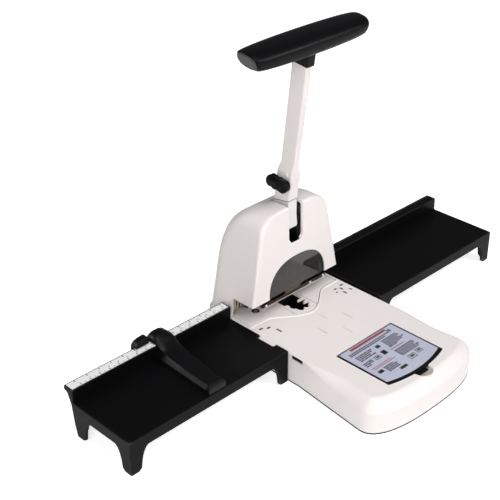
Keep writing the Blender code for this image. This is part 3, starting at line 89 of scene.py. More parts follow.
# The die insert's ragged mouth, with two off-white fingers from its right side that are painted highlights on
# the die: shares of its half width and of its depth
MOUTH_AND_HIGHLIGHT_SHARES = ((-0.86, 0.06), (-0.86, 0.44), (-0.62, 0.47), (-0.60, 0.56), (-0.74, 0.60), (-0.66, 0.74),
                (-0.50, 0.76), (-0.46, 0.88), (-0.34, 0.955), (-0.06, 0.955), (-0.02, 0.89), (0.12, 0.89),
                (0.16, 0.955), (0.49, 0.955), (0.52, 0.86), (0.70, 0.86), (0.85, 0.72), (0.50, 0.71),
                (0.50, 0.67), (0.86, 0.66), (0.88, 0.53), (0.36, 0.52), (0.36, 0.485), (0.88, 0.475),
                (0.90, 0.06))

# Generic print: row lengths as shares, blocks of rows (left end, width, reach, count) and pictures
# (x, reach, width, depth)
ROW_SHARES = (0.93, 0.81, 0.98, 0.88, 0.72, 0.95, 0.84, 0.90, 0.76, 0.97, 0.81, 0.93)
PRINT_BLOCKS = ((-30.0, 58.0, 113.6, 2), (-29.0, 22.0, 120.0, 4), (7.0, 24.0, 119.0, 5),
                (4.0, 27.0, 136.6, 5), (-22.0, 17.0, 146.0, 4), (-31.5, 8.0, 131.0, 3), (6.0, 12.0, 129.6, 1))
PRINT_PICTURES = ((-1.0, 122.5, 5.0, 4.0), (-13.5, 133.0, 7.0, 5.0), (-22.5, 132.6, 5.0, 4.2),
                  (-3.5, 132.0, 5.5, 6.0), (10.0, 152.8, 9.0, 6.0), (21.0, 151.0, 7.0, 5.5),
                  (-27.5, 148.5, 6.0, 4.0), (25.5, 113.2, 4.5, 3.4), (-8.0, 157.6, 9.0, 3.2))

Piece = bpy.types.Object
Material = bpy.types.Material
Tree = bpy.types.NodeTree
Node = bpy.types.Node
Socket = bpy.types.NodeSocket
BMesh = bmesh.types.BMesh
Point2 = tuple[float, float]
Point3 = tuple[float, float, float]
Colour = tuple[float, float, float]


class Body(Enum):
    """Rigid bodies that the pieces ride on."""

    MACHINE = "machine"
    LEVER = "lever"
    RAM = "ram_assembly"
    KNOB = "knob"
    LID = "lid"
    DRAWER = "drawer"
    LEFT_TABLE = "left_side_table"
    RIGHT_TABLE = "right_side_table"
    STOP = "stop"


class Slot(Enum):
    """Material slots of the record."""

    OFF_WHITE = "off_white"
    BLACK = "black_plastic"
    GRIP = "black_grip"
    RUBBER = "rubber"
    BRIGHT = "bright_steel"
    DARK = "dark_steel"
    BRASS = "brass"
    SMOKED = "smoked"
    LABEL = "label"
    RULER = "ruler_white"


class Axis(Enum):
    """Directions that a prism or a turned piece runs along."""

    X = 0
    Y = 1
    Z = 2


def front(distance: float) -> float:
    """Y in millimetres of a point in front of the fence face."""
    return FENCE_Y - distance


def back(distance: float) -> float:
    """Y in millimetres of a point behind the fence face."""
    return FENCE_Y + distance


def clamp(value: float) -> float:
    """Keeps a number between 0 and 1."""
    return min(max(value, 0.0), 1.0)


def ease(share: float) -> float:
    """Starts and ends a change gently."""
    return share * share * (3 - 2 * share)


# Node tools, for shader and geometry trees


def fill(tree: Tree, node: Node, inputs: dict) -> None:
    """Gives a node's inputs, by name or place, a socket to link or a value to hold."""
    for key, value in inputs.items():
        if isinstance(value, Socket):
            tree.links.new(value, node.inputs[key])
        else:
            node.inputs[key].default_value = value


def add_node(tree: Tree, kind: str, inputs: dict | None = None, **settings) -> Node:
    """Adds a node.

    Args:
        tree: node tree that gets the node.
        kind: Blender's name of the node type.
        inputs: sockets to link and values to hold, by input name or place.
        settings: the node's own properties.

    Returns:
        The node.
    """
    node = tree.nodes.new(kind)
    for name, value in settings.items():
        setattr(node, name, value)
    fill(tree, node, inputs or {})
    return node


def new_tree(kind: str, name: str, inputs: dict[str, str], outputs: dict[str, str]) -> tuple:
    """Starts a node group.

    Args:
        kind: Shader or Geometry.
        name: the group's name.
        inputs: socket type of each input by name.
        outputs: socket type of each output by name.

    Returns:
        The tree, the sockets that bring its inputs, and the node that takes its results.
    """
    tree = bpy.data.node_groups.new(name, f"{kind}NodeTree")
    for way, sockets in (("INPUT", inputs), ("OUTPUT", outputs)):
        for label, socket_type in sockets.items():
            tree.interface.new_socket(label, in_out=way, socket_type=f"NodeSocket{socket_type}")
    return tree, tree.nodes.new("NodeGroupInput").outputs, tree.nodes.new("NodeGroupOutput")


def math_node(tree: Tree, operation: str, first, second, clamp: bool = False) -> Socket:
    """Adds a Math node.

    Args:
        tree: node tree that gets the node.
        operation: Blender's name of the operation.
        first: socket or number.
        second: socket or number.
        clamp: keeps the result between 0 and 1.

    Returns:
        The node's output socket.
    """
    return add_node(tree, "ShaderNodeMath", {0: first, 1: second}, operation=operation,
                    use_clamp=clamp).outputs[0]


def noise(tree: Tree, vector, scale, detail: float, roughness: float) -> Socket:
    """Adds a Noise texture and returns its value socket."""
    values = {"Vector": vector, "Scale": scale, "Detail": detail, "Roughness": roughness}
    return add_node(tree, "ShaderNodeTexNoise", values).outputs["Fac"]


# Shader groups and finishes


def grain_group() -> Tree:
    """Moulded surface: fine spark-eroded grain and slow mottling.

    Returns:
        Group with inputs Vector and Scale, and outputs Height and Mottle.
    """
    tree, start, end = new_tree("Shader", "moulded_grain", {"Vector": "Vector", "Scale": "Float"},
                                {"Height": "Float", "Mottle": "Float"})
    fine = noise(tree, start["Vector"], scale=start["Scale"], detail=2.0, roughness=0.6)
    slow = noise(tree, start["Vector"], scale=26.0, detail=4.0, roughness=0.55)
    coarse = noise(tree, start["Vector"], scale=210.0, detail=2.0, roughness=0.5)
    height = math_node(tree, "ADD", fine, math_node(tree, "MULTIPLY", coarse, COARSE_SHARE))
    fill(tree, end, {"Height": height, "Mottle": slow})
    return tree


def wear_group() -> Tree:
    """Worn edges lightened further as a painted edge highlight, and painted shade darkening the creases, read
    from the surface's own pointiness.

    Returns:
        Group with inputs Vector and Sharpness, and two outputs: the edge mask for worn edges with a painted
        highlight, and the mask of creases for painted shade.
    """
    tree, start, end = new_tree("Shader", "edge_wear_and_crease_shade", {"Vector": "Vector", "Sharpness": "Float"},
                                {"EdgeWearAndHighlight": "Float", "CreaseShade": "Float"})
    pointiness = add_node(tree, "ShaderNodeNewGeometry").outputs["Pointiness"]
    # Raised spots: worn edges plus a painted highlight; sunk spots: painted shade.
    raised = math_node(tree, "SUBTRACT", pointiness, RAISED_FROM)
    sunk = math_node(tree, "SUBTRACT", SUNK_FROM, pointiness)
    patchy = noise(tree, start["Vector"], scale=140.0, detail=3.0, roughness=0.6)
    edge = math_node(tree, "MULTIPLY", raised, start["Sharpness"], True)
    fill(tree, end, {"EdgeWearAndHighlight": math_node(tree, "MULTIPLY", edge, patchy, True),
                     "CreaseShade": math_node(tree, "MULTIPLY", sunk, start["Sharpness"], True)})
    return tree


def dust_group() -> Tree:
    """Thin dust that settles on faces that look up.

    Returns:
        Group with inputs Vector and Amount, and output Mask.
    """
    tree, start, end = new_tree("Shader", "settled_dust", {"Vector": "Vector", "Amount": "Float"},
                                {"Mask": "Float"})
    normal = add_node(tree, "ShaderNodeNewGeometry").outputs["Normal"]
    split = add_node(tree, "ShaderNodeSeparateXYZ", {0: normal})
    upward = math_node(tree, "MULTIPLY", split.outputs["Z"], 1.0, True)
    specks = noise(tree, start["Vector"], scale=520.0, detail=4.0, roughness=0.7)
    clouds = noise(tree, start["Vector"], scale=30.0, detail=3.0, roughness=0.5)
    mask = math_node(tree, "MULTIPLY", upward, math_node(tree, "MULTIPLY", specks, clouds))
    fill(tree, end, {"Mask": math_node(tree, "MULTIPLY", mask, start["Amount"], True)})
    return tree


def brushed_group() -> Tree:
    """Drawn or rolled metal: streaks along one direction, chosen by the stretch of its vector.

    Returns:
        Group with inputs Vector and Scale, and outputs Height and Streak.
    """
    tree, start, end = new_tree("Shader", "rolled_streaks", {"Vector": "Vector", "Scale": "Float"},
                                {"Height": "Float", "Streak": "Float"})
    streak = noise(tree, start["Vector"], scale=start["Scale"], detail=5.0, roughness=0.65)
    cloud = noise(tree, start["Vector"], scale=3.0, detail=2.0, roughness=0.5)
    broken = math_node(tree, "MULTIPLY", streak, math_node(tree, "ADD", cloud, 0.5))
    fill(tree, end, {"Height": streak, "Streak": broken})
    return tree


@dataclass
class Groups:
    """The shader groups that the finishes share."""

    grain: Tree = field(default_factory=grain_group)
    wear: Tree = field(default_factory=wear_group)
    dust: Tree = field(default_factory=dust_group)
    brushed: Tree = field(default_factory=brushed_group)


GROUPS = Groups()


def start_material(name: str) -> tuple:
    """Makes an empty node material.

    Args:
        name: the material's name.

    Returns:
        Material, its tree, its Principled shader and a vector socket in object coordinates.
    """
    material = bpy.data.materials.new(name)
    material.use_nodes = True
    tree = material.node_tree
    return material, tree, tree.nodes["Principled BSDF"], add_node(tree,
                                                                   "ShaderNodeTexCoord").outputs["Object"]


def use_group(tree: Tree, group: Tree, vector, **values: float):
    """Places a shared group in a material.

    Args:
        tree: the material's tree.
        group: the shared group.
        vector: socket that drives its Vector input.
        values: values of its other inputs.

    Returns:
        The group's output sockets.
    """
    return add_node(tree, "ShaderNodeGroup", {"Vector": vector, **values}, node_tree=group).outputs


def mix_colour(tree: Tree, factor, first, second) -> Socket:
    """Mixes two colours, each a socket or a plain colour, and returns the result's socket."""
    low, high = ((*value, 1.0) if isinstance(value, tuple) else value for value in (first, second))
    return add_node(tree, "ShaderNodeMix", {"Factor": factor, 6: low, 7: high}, data_type="RGBA").outputs[2]


def spread(tree: Tree, value, low: float, high: float) -> Socket:
    """Maps 0..1 to a range and returns the result's socket."""
    return add_node(tree, "ShaderNodeMapRange",
                    {"Value": value, "To Min": low, "To Max": high}).outputs["Result"]


def bump(tree: Tree, height, strength: float, distance: float) -> Socket:
    """Turns a height into a normal and returns its socket."""
    values = {"Strength": strength, "Distance": distance, "Height": height}
    return add_node(tree, "ShaderNodeBump", values).outputs["Normal"]


def shade(colour: Colour, share: float) -> Colour:
    """A share of a colour's brightness."""
    return tuple(channel * share for channel in colour)


@dataclass(frozen=True)
class Moulded:
    """Moulded plastic or rubber with grain, worn edges lightened further as a painted highlight, creases
    darkened as painted shade, and a little dust.
    """

    name: str
    slot: Slot
    colour: Colour
    rubbed: Colour
    crease: Colour
    dust: Colour
    roughness: Point2
    specular: float
    grain_scale: float
    grain_depth: float
    edge_share: float
    dust_amount: float
    mottle_share: float = 0.965
    dust_roughness: float = 0.4
    bump_strength: float = 0.35

    def material(self) -> Material:
        """Builds the material."""
        material, tree, shader, place = start_material(self.name)
        grain = use_group(tree, GROUPS.grain, place, Scale=self.grain_scale)
        wear = use_group(tree, GROUPS.wear, place, Sharpness=self.edge_share)
        dust = use_group(tree, GROUPS.dust, place, Amount=self.dust_amount)["Mask"]
        base = mix_colour(tree, grain["Mottle"], self.colour, shade(self.colour, self.mottle_share))
        # Painted shade: creases take a darker colour.
        base = mix_colour(tree, wear["CreaseShade"], base, self.crease)
        # Worn edges with a painted highlight: edges take a lighter colour.
        base = mix_colour(tree, wear["EdgeWearAndHighlight"], base, self.rubbed)
        rough = spread(tree, grain["Mottle"], *self.roughness)
        rough = math_node(tree, "ADD", rough, math_node(tree, "MULTIPLY", dust, self.dust_roughness), True)
        fill(tree, shader, {"Base Color": mix_colour(tree, dust, base, self.dust), "Roughness": rough,
                            "Specular IOR Level": self.specular,
                            "Normal": bump(tree, grain["Height"], self.bump_strength, self.grain_depth)})
        return material


@dataclass(frozen=True)
class Metal:
    """Plated, blackened or brassy metal with streaks along its rolling direction, and painted shade darkening
    its creases.
    """

    name: str
    slot: Slot
    colour: Colour
    shade: Colour
    roughness: Point2
    stretch: Point3
    depth: float = 0.00002
    sharpness: float = 10.0
    crease_share: float = 0.4
    bump_strength: float = 0.25

    def material(self) -> Material:
        """Builds the material."""
        material, tree, shader, place = start_material(self.name)
        along = add_node(tree, "ShaderNodeMapping",
                         {"Scale": self.stretch, "Vector": place}).outputs["Vector"]
        streaks = use_group(tree, GROUPS.brushed, along, Scale=1.0)
        wear = use_group(tree, GROUPS.wear, place, Sharpness=self.sharpness)
        base = mix_colour(tree, streaks["Streak"], self.colour, self.shade)
        # Painted shade: creases take a darker share of the streak tone.
        base = mix_colour(tree, wear["CreaseShade"], base, shade(self.shade, self.crease_share))
        fill(tree, shader, {"Base Color": base, "Roughness": spread(tree, streaks["Streak"], *self.roughness),
                            "Metallic": 1.0,
                            "Normal": bump(tree, streaks["Height"], self.bump_strength, self.depth)})
        return material


@dataclass(frozen=True)
class Pane:
    """Smoked acrylic sheet with faint smears."""

    name: str
    slot: Slot
    colour: Colour
    roughness: Point2
    transmission: float
    refraction: float = 1.49

    def material(self) -> Material:
        """Builds the material."""
        material, tree, shader, place = start_material(self.name)
        smears = noise(tree, place, scale=45.0, detail=4.0, roughness=0.6)
        fill(tree, shader,
             {"Base Color": (*self.colour, 1.0), "Roughness": spread(tree, smears, *self.roughness),
                            "Transmission Weight": self.transmission, "IOR": self.refraction})
        return material


@dataclass(frozen=True)
class Printed:
    """Printed film or strip, with a slight sheen and uneven ink."""

    name: str
    slot: Slot
    colour: Colour
    faded: Colour
    roughness: Point2
    dust: Colour = (0.55, 0.53, 0.5)
    dust_amount: float = 0.12
    bump_strength: float = 0.1
    depth: float = 0.00003

    def material(self) -> Material:
        """Builds the material."""
        material, tree, shader, place = start_material(self.name)
        clouds = noise(tree, place, scale=60.0, detail=4.0, roughness=0.6)
        dust = use_group(tree, GROUPS.dust, place, Amount=self.dust_amount)["Mask"]
        base = mix_colour(tree, clouds, self.colour, self.faded)
        fill(tree, shader, {"Base Color": mix_colour(tree, dust, base, self.dust),
                            "Roughness": spread(tree, clouds, *self.roughness),
                            "Normal": bump(tree, clouds, self.bump_strength, self.depth)})
        return material


FINISHES: dict[str, object] = {
    # In each moulded finish the darker colour for creases is painted shade, and the lighter colour for edges
    # shows worn edges with a painted highlight.
    "housing": Moulded("housing_white", Slot.OFF_WHITE, (0.84, 0.785, 0.765), (0.88, 0.85, 0.83),
                       (0.50, 0.45, 0.43),
                       (0.70, 0.66, 0.63), (0.40, 0.54), 0.36, 1500.0, 0.00003, 5.0, 0.10),
    # The table's lighter colour for edges, far above its black, is chiefly a painted highlight along its
    # edges.
    "table": Moulded("table_black", Slot.BLACK, (0.0022, 0.0019, 0.0024), (0.12, 0.117, 0.12),
                     (0.001, 0.001, 0.0012),
                     (0.03, 0.029, 0.03), (0.40, 0.52), 0.07, 1300.0, 0.00003, 7.0, 0.02),
    "stop": Moulded("stop_black", Slot.BLACK, (0.0030, 0.0027, 0.0034), (0.022, 0.021, 0.023),
                    (0.001, 0.001, 0.0012),
                    (0.03, 0.029, 0.03), (0.24, 0.34), 0.12, 1300.0, 0.00002, 8.0, 0.02),
    "grip": Moulded("grip_black", Slot.GRIP, (0.0030, 0.0027, 0.0034), (0.012, 0.011, 0.013),
                    (0.001, 0.001, 0.001),
                    (0.03, 0.03, 0.03), (0.30, 0.40), 0.07, 1700.0, 0.00003, 6.0, 0.02),
    "cap": Moulded("cap_grey", Slot.BLACK, (0.040, 0.035, 0.038), (0.12, 0.11, 0.115), (0.01, 0.01, 0.01),
                   (0.1, 0.1, 0.1), (0.40, 0.50), 0.20, 1200.0, 0.00003, 6.0, 0.04),
    "zinc": Moulded("zinc_plate", Slot.BRIGHT, (0.76, 0.74, 0.73), (0.80, 0.79, 0.78), (0.30, 0.29, 0.28),
                    (0.6, 0.6, 0.6), (0.26, 0.38), 0.70, 2200.0, 0.00002, 6.0, 0.05),
    "rubber": Moulded("foot_rubber", Slot.RUBBER, (0.014, 0.013, 0.013), (0.05, 0.05, 0.05),
                      (0.01, 0.01, 0.01),
                      (0.12, 0.11, 0.10), (0.75, 0.9), 0.25, 900.0, 0.00008, 6.0, 0.08),
    "chrome": Metal("plated_steel", Slot.BRIGHT, (0.78, 0.77, 0.76), (0.60, 0.59, 0.58), (0.12, 0.24),
                    (900.0, 60.0, 60.0)),
    "satin": Metal("satin_steel", Slot.BRIGHT, (0.90, 0.89, 0.88), (0.78, 0.77, 0.76), (0.40, 0.52),
                   (900.0, 60.0, 60.0),
                   0.00001),
    "screw": Metal("screw_steel", Slot.BRIGHT, (0.62, 0.61, 0.60), (0.48, 0.47, 0.46), (0.30, 0.42),
                   (500.0, 500.0, 90.0)),
    "blackened": Metal("blackened_steel", Slot.DARK, (0.09, 0.086, 0.09), (0.05, 0.048, 0.05), (0.34, 0.5),
                       (90.0, 500.0, 500.0), 0.00004),
    "brass": Metal("brassy_plate", Slot.BRASS, (0.60, 0.50, 0.36), (0.42, 0.34, 0.24), (0.28, 0.42),
                   (60.0, 700.0, 700.0)),
    # Brass darkened almost to black: painted shade on the stripper's face.
    "shade_darkened_brass": Metal("shade_darkened_brass_plate", Slot.BRASS, (0.075, 0.050, 0.038), (0.040, 0.027, 0.022), (0.30, 0.44),
                     (60.0, 700.0, 700.0)),
    "smoked": Pane("smoked_acrylic", Slot.SMOKED, (0.085, 0.075, 0.073), (0.02, 0.04), 0.70),
    "label": Printed("label_film", Slot.LABEL, (0.52, 0.54, 0.66), (0.47, 0.49, 0.61), (0.24, 0.34)),
    "ink": Printed("label_dark_print", Slot.LABEL, (0.020, 0.020, 0.028), (0.035, 0.035, 0.045), (0.3, 0.4)),
    "red": Printed("label_red_print", Slot.LABEL, (0.34, 0.014, 0.028), (0.28, 0.016, 0.028), (0.3, 0.4)),
    "strip": Printed("ruler_strip", Slot.RULER, (0.88, 0.88, 0.87), (0.84, 0.84, 0.83), (0.4, 0.5)),
    "tick": Printed("ruler_print", Slot.RULER, (0.03, 0.03, 0.035), (0.05, 0.05, 0.055), (0.35, 0.45)),
    "mark": Printed("deck_print", Slot.OFF_WHITE, (0.020, 0.016, 0.018), (0.04, 0.036, 0.038), (0.4, 0.5)),
}
_made: dict[str, Material] = {}


def finish(name: str) -> Material:
    """The material of a finish, built once."""
    if name not in _made:
        _made[name] = FINISHES[name].material()
    return _made[name]


# Mesh tools, all in millimetres until a mesh is made


def add_object(name: str, data: bpy.types.ID) -> Piece:
    """Makes an object of a mesh, curve, light or camera and links it to the scene."""
    piece = bpy.data.objects.new(name, data)
    bpy.context.scene.collection.objects.link(piece)
    return piece


def object_from(name: str, bm: BMesh, scale: float = MM) -> Piece:
    """Turns a bmesh into an object at the origin.

    Args:
        name: the object's name.
        bm: the mesh, freed here.
        scale: factor from the mesh's unit to metres.

    Returns:
        The new object, linked to the scene.
    """
    bmesh.ops.recalc_face_normals(bm, faces=bm.faces)
    bmesh.ops.scale(bm, vec=(scale, scale, scale), verts=bm.verts)
    mesh = bpy.data.meshes.new(name)
    bm.to_mesh(mesh)
    bm.free()
    return add_object(name, mesh)


def loft(name: str, loops: Sequence[Sequence[Point3]]) -> Piece:
    """A closed solid through loops of points that all have the same count."""
    bm = bmesh.new()
    rings = [[bm.verts.new(point) for point in loop] for loop in loops]
    count = len(rings[0])
    for low, high in zip(rings, rings[1:]):
        for i in range(count):
            j = (i + 1) % count
            bm.faces.new((low[i], low[j], high[j], high[i]))
    bm.faces.new(rings[0][::-1])
    bm.faces.new(rings[-1])
    return object_from(name, bm)


def along_axis(flat: Point2, axis: Axis, along: float) -> Point3:
    """Point from its two coordinates across an axis and its place along it."""
    point = list(flat)
    point.insert(axis.value, along)
    return tuple(point)


def prism(name: str, outline: Sequence[Point2], span: Point2, axis: Axis) -> Piece:
    """Extrudes an outline along an axis.

    Args:
        name: the object's name.
        outline: points in the two other directions, in X, Y, Z order.
        span: where it starts and ends on the axis.
        axis: direction of the extrusion.

    Returns:
        The solid.
    """
    return loft(name, [[along_axis(point, axis, end) for point in outline] for end in span])


def slab(name: str, x: Point2, y: Point2, z: Point2) -> Piece:
    """A block between pairs of X, Y and Z."""
    low, high = sorted(x)
    return prism(name, [(low, y[0]), (high, y[0]), (high, y[1]), (low, y[1])], z, Axis.Z)


def tile(name: str, x: float, reach: float, wide: float, deep: float, z: Point2) -> Piece:
    """A block by its middle in front of the fence face, its width and its depth."""
    return slab(name, (x - wide / 2, x + wide / 2), (front(reach + deep / 2), front(reach - deep / 2)), z)


def arc(centre: Point2, radius: float, start: float, end: float, steps: int) -> list[Point2]:
    """Points along an arc, by angles in degrees."""
    places = []
    for step in range(steps + 1):
        angle = math.radians(start + (end - start) * step / steps)
        places.append((centre[0] + radius * math.cos(angle), centre[1] + radius * math.sin(angle)))
    return places


def turned(name: str, profile: Sequence[Point2], centre: Point2, axis: Axis, segments: int = 40) -> Piece:
    """A turned solid.

    Args:
        name: the object's name.
        profile: radius and place along the axis, from end to end.
        centre: where the axis crosses the two other directions, in X, Y, Z order.
        axis: direction of the axis.
        segments: points round the axis.

    Returns:
        The solid.
    """
    turns = [2 * math.pi * step / segments for step in range(segments)]
    return loft(name,
                [[along_axis((centre[0] + radius * math.cos(turn), centre[1] + radius * math.sin(turn)), axis,
                             along)
                        for turn in turns] for radius, along in profile])


def rod(name: str, radius: float, span: Point2, centre: Point2, axis: Axis, segments: int = 24) -> Piece:
    """A plain round bar, for pins and bores."""
    return turned(name, [(radius, end) for end in span], centre, axis, segments)


def round_box(half: float, face: float, rear: float, front_corner: float, rear_corner: float,
              steps: int) -> list[Point2]:
    """Plan loop of a box with round corners, anticlockwise from the front right."""
    points: list[Point2] = []
    for centre, radius, start in (((half - front_corner, face + front_corner), front_corner, -90),
                                  ((half - rear_corner, rear - rear_corner), rear_corner, 0),
                                  ((-half + rear_corner, rear - rear_corner), rear_corner, 90),
                                  ((-half + front_corner, face + front_corner), front_corner, 180)):
        points += arc(centre, radius, start, start + 90, steps)
    return points


def round_corners(outline: Sequence[Point2], radius: float, steps: int) -> list[Point2]:
    """Rounds the corners of an outline.

    Args:
        outline: the corners, in order.
        radius: radius of each corner, less where the sides beside it are short.
        steps: points in each rounded corner.

    Returns:
        The outline with each corner replaced by a curve.
    """
    rounded: list[Point2] = []
    for i, corner in enumerate(outline):
        here = Vector(corner)
        before = Vector(outline[i - 1]) - here
        after = Vector(outline[(i + 1) % len(outline)]) - here
        bend = before.angle(after)
        if bend >= STRAIGHT_BEND:
            rounded.append(corner)
            continue
        reach = min(radius / math.tan(bend / 2), before.length * SIDE_SHARE, after.length * SIDE_SHARE)
        first = here + before.normalized() * reach
        last = here + after.normalized() * reach
        for step in range(steps + 1):
            share = step / steps
            point = first * (1 - share) ** 2 + here * 2 * share * (1 - share) + last * share ** 2
            rounded.append((point.x, point.y))
    return rounded


def evaluated(piece: Piece) -> None:
    """Applies every modifier of a piece to its mesh."""
    graph = bpy.context.evaluated_depsgraph_get()
    mesh = bpy.data.meshes.new_from_object(piece.evaluated_get(graph))
    piece.modifiers.clear()
    old = piece.data
    piece.data = mesh
    bpy.data.meshes.remove(old)


def carve(piece: Piece, cutters: Iterable[Piece], operation: str = "DIFFERENCE") -> None:
    """Cuts or joins solids and deletes the ones that shaped the piece."""
    used = list(cutters)
    for cutter in used:
        step = piece.modifiers.new(cutter.name, "BOOLEAN")
        step.operation = operation
        step.solver = "EXACT"
        step.object = cutter
    evaluated(piece)
    for cutter in used:
        bpy.data.objects.remove(cutter, do_unlink=True)


def merge(name: str, pieces: Sequence[Piece]) -> Piece:
    """Puts several small pieces into one object.

    Args:
        name: the new object's name.
        pieces: the small pieces, deleted here.

    Returns:
        The object that holds them all.
    """
    bm = bmesh.new()
    for piece in pieces:
        bm.from_mesh(piece.data)
        bpy.data.objects.remove(piece, do_unlink=True)
    return object_from(name, bm, 1.0)


def weld(bm: BMesh) -> None:
    """Joins doubled points and dissolves the edges inside flat faces."""
    bmesh.ops.remove_doubles(bm, verts=bm.verts, dist=WELD)
    bmesh.ops.dissolve_limit(bm, angle_limit=math.radians(FLAT_ANGLE), verts=bm.verts, edges=bm.edges)


def soften(piece: Piece, width: float, segments: int = 3, angle: float = SHARP_ANGLE) -> None:
    """Rounds the edges of a piece by a width in millimetres."""
    mesh = piece.data
    bm = bmesh.new()
    bm.from_mesh(mesh)
    weld(bm)
    bm.to_mesh(mesh)
    bm.free()
    bevel = piece.modifiers.new("round", "BEVEL")
    bevel.width = width * MM
    bevel.segments = segments
    bevel.limit_method = "ANGLE"
    bevel.angle_limit = math.radians(angle)
    bevel.miter_outer = "MITER_ARC"
    evaluated(piece)


def smooth(piece: Piece, angle: float = SHARP_ANGLE, level: bool = False) -> None:
    """Shades a piece smooth up to an angle and, if asked, keeps its level faces quite flat."""
    piece.data.shade_smooth()
    if level:
        bm = bmesh.new()
        bm.from_mesh(piece.data)
        for edge in bm.edges:
            if len({abs(face.normal.z) > LEVEL_NORMAL for face in edge.link_faces}) == 2:
                edge.smooth = False
        bm.to_mesh(piece.data)
        bm.free()
    piece.data.set_sharp_from_angle(angle=math.radians(angle))
    weighted = piece.modifiers.new("weighted", "WEIGHTED_NORMAL")
    weighted.keep_sharp = True
    weighted.weight = NORMAL_WEIGHT
    evaluated(piece)


def divide(piece: Piece, axes: Sequence[Axis], spacing: float = 4.0) -> None:
    """Cuts a piece's large faces along a grid, so that the worn edges, the painted edge highlight and the
    painted shade in creases stay close to its edges.

    Args:
        piece: the piece.
        axes: directions that the cutting planes face.
        spacing: distance between the planes.
    """
    bm = bmesh.new()
    bm.from_mesh(piece.data)
    for index in (axis.value for axis in axes):
        facing = Vector([float(place == index) for place in range(3)])
        reach = [vertex.co[index] for vertex in bm.verts]
        low, high = min(reach), max(reach)
        for step in range(1, int((high - low) / (spacing * MM)) + 1):
            bmesh.ops.bisect_plane(bm, geom=bm.verts[:] + bm.edges[:] + bm.faces[:], dist=ON_PLANE,
                                   plane_co=facing * (low + step * spacing * MM), plane_no=facing)
    bm.to_mesh(piece.data)
    bm.free()


def bake_place(piece: Piece, matrix: Matrix) -> None:
    """Moves a piece's mesh and leaves its object at the origin."""
    piece.data.transform(matrix)
    piece.data.update()


def copy_node(node: str, name: str) -> Piece:
    """Copies a CAD node's mesh as a clean start for a finer piece."""
    bm = bmesh.new()
    bm.from_mesh(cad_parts[node].data)
    weld(bm)
    return object_from(name, bm, 1.0)


def publish(piece: Piece, finish_name: str, body: Body, replaces: Sequence[str] = ()) -> None:
    """Gives a piece its finish, its body and the nodes that it stands for.

    Args:
        piece: the finished piece.
        finish_name: key of its finish.
        body: the body that it rides on.
        replaces: CAD nodes that it replaces.
    """
    piece.data.materials.clear()
    piece.data.materials.append(finish(finish_name))
    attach(piece, body.value)
    if replaces:
        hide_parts(*replaces)
    log.info("piece %s: %d faces, %s", piece.name, len(piece.data.polygons), finish_name)


def dress(piece: Piece, finish_name: str, body: Body, replaces: Sequence[str] = (),
          angle: float = SHARP_ANGLE) -> None:
    """Shades a piece smooth up to an angle and publishes it."""
    smooth(piece, angle)
    publish(piece, finish_name, body, replaces)


def refine(node: str, finish_name: str, body: Body, width: float, segments: int = 2) -> None:
    """Replaces a CAD node by a copy with rounded edges."""
    piece = copy_node(node, node + "_finished")
    soften(piece, width, segments)
    dress(piece, finish_name, body, [node])


def paint(nodes: Iterable[str], finish_name: str) -> None:
    """Gives CAD nodes a finish in place."""
    for node in nodes:
        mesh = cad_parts[node].data
        mesh.materials.clear()
        mesh.materials.append(finish(finish_name))
        mesh.shade_smooth()
        mesh.set_sharp_from_angle(angle=math.radians(SHARP_ANGLE))
        log.info("node %s: %s", node, finish_name)


# Geometry Nodes


def geometry_tree(name: str, **inputs: str) -> tuple:
    """Starts a Geometry Nodes tree.

    Args:
        name: the tree's name.
        inputs: socket type of each input between the geometry and the material.

    Returns:
        The tree, the sockets that bring its inputs, and the node that takes its result.
    """
    sockets = {"Geometry": "Geometry", **inputs, "Material": "Material"}
    return new_tree("Geometry", name, sockets, {"Geometry": "Geometry"})


def close_tree(tree: Tree, start, end: Node, shape) -> None:
    """Ends a tree in Realize Instances and Set Material."""
    real = add_node(tree, "GeometryNodeRealizeInstances", {0: shape})
    dressed = add_node(tree, "GeometryNodeSetMaterial",
                       {"Geometry": real.outputs[0], "Material": start["Material"]})
    fill(tree, end, {0: dressed.outputs["Geometry"]})


def bar_tree() -> Tree:
    """A row of equal bars: a line of points with a block on each.

    Returns:
        Tree with inputs Count, Start, Step, Bar and Material.
    """
    tree, start, end = geometry_tree("bar_row", Count="Int", Start="Vector", Step="Vector", Bar="Vector")
    line = add_node(tree, "GeometryNodeMeshLine", {"Count": start["Count"], "Start Location": start["Start"],
                                                   "Offset": start["Step"]}, mode="OFFSET")
    cube = add_node(tree, "GeometryNodeMeshCube", {"Size": start["Bar"]})
    place = add_node(tree, "GeometryNodeInstanceOnPoints",
                     {"Points": line.outputs["Mesh"], "Instance": cube.outputs["Mesh"]})
    close_tree(tree, start, end, place.outputs["Instances"])
    return tree


def coil_tree() -> Tree:
    """A coil spring: a spiral swept with a round wire.

    Returns:
        Tree with inputs Turns, Radius, Height, Wire, Place and Material.
    """
    tree, start, end = geometry_tree("coil", Turns="Float", Radius="Float", Height="Float", Wire="Float",
                                     Place="Vector")
    spiral = add_node(tree, "GeometryNodeCurveSpiral",
                      {"Resolution": COIL_STEPS, "Rotations": start["Turns"], "Start Radius": start["Radius"],
                       "End Radius": start["Radius"], "Height": start["Height"]})
    ring = add_node(tree, "GeometryNodeCurvePrimitiveCircle",
                    {"Resolution": WIRE_STEPS, "Radius": start["Wire"]})
    sweep = add_node(tree, "GeometryNodeCurveToMesh", {"Curve": spiral.outputs["Curve"],
                                                       "Profile Curve": ring.outputs["Curve"],
                                                       "Fill Caps": True})
    move = add_node(tree, "GeometryNodeTransform",
                    {"Geometry": sweep.outputs["Mesh"], "Translation": start["Place"]})
    close_tree(tree, start, end, move.outputs["Geometry"])
    return tree


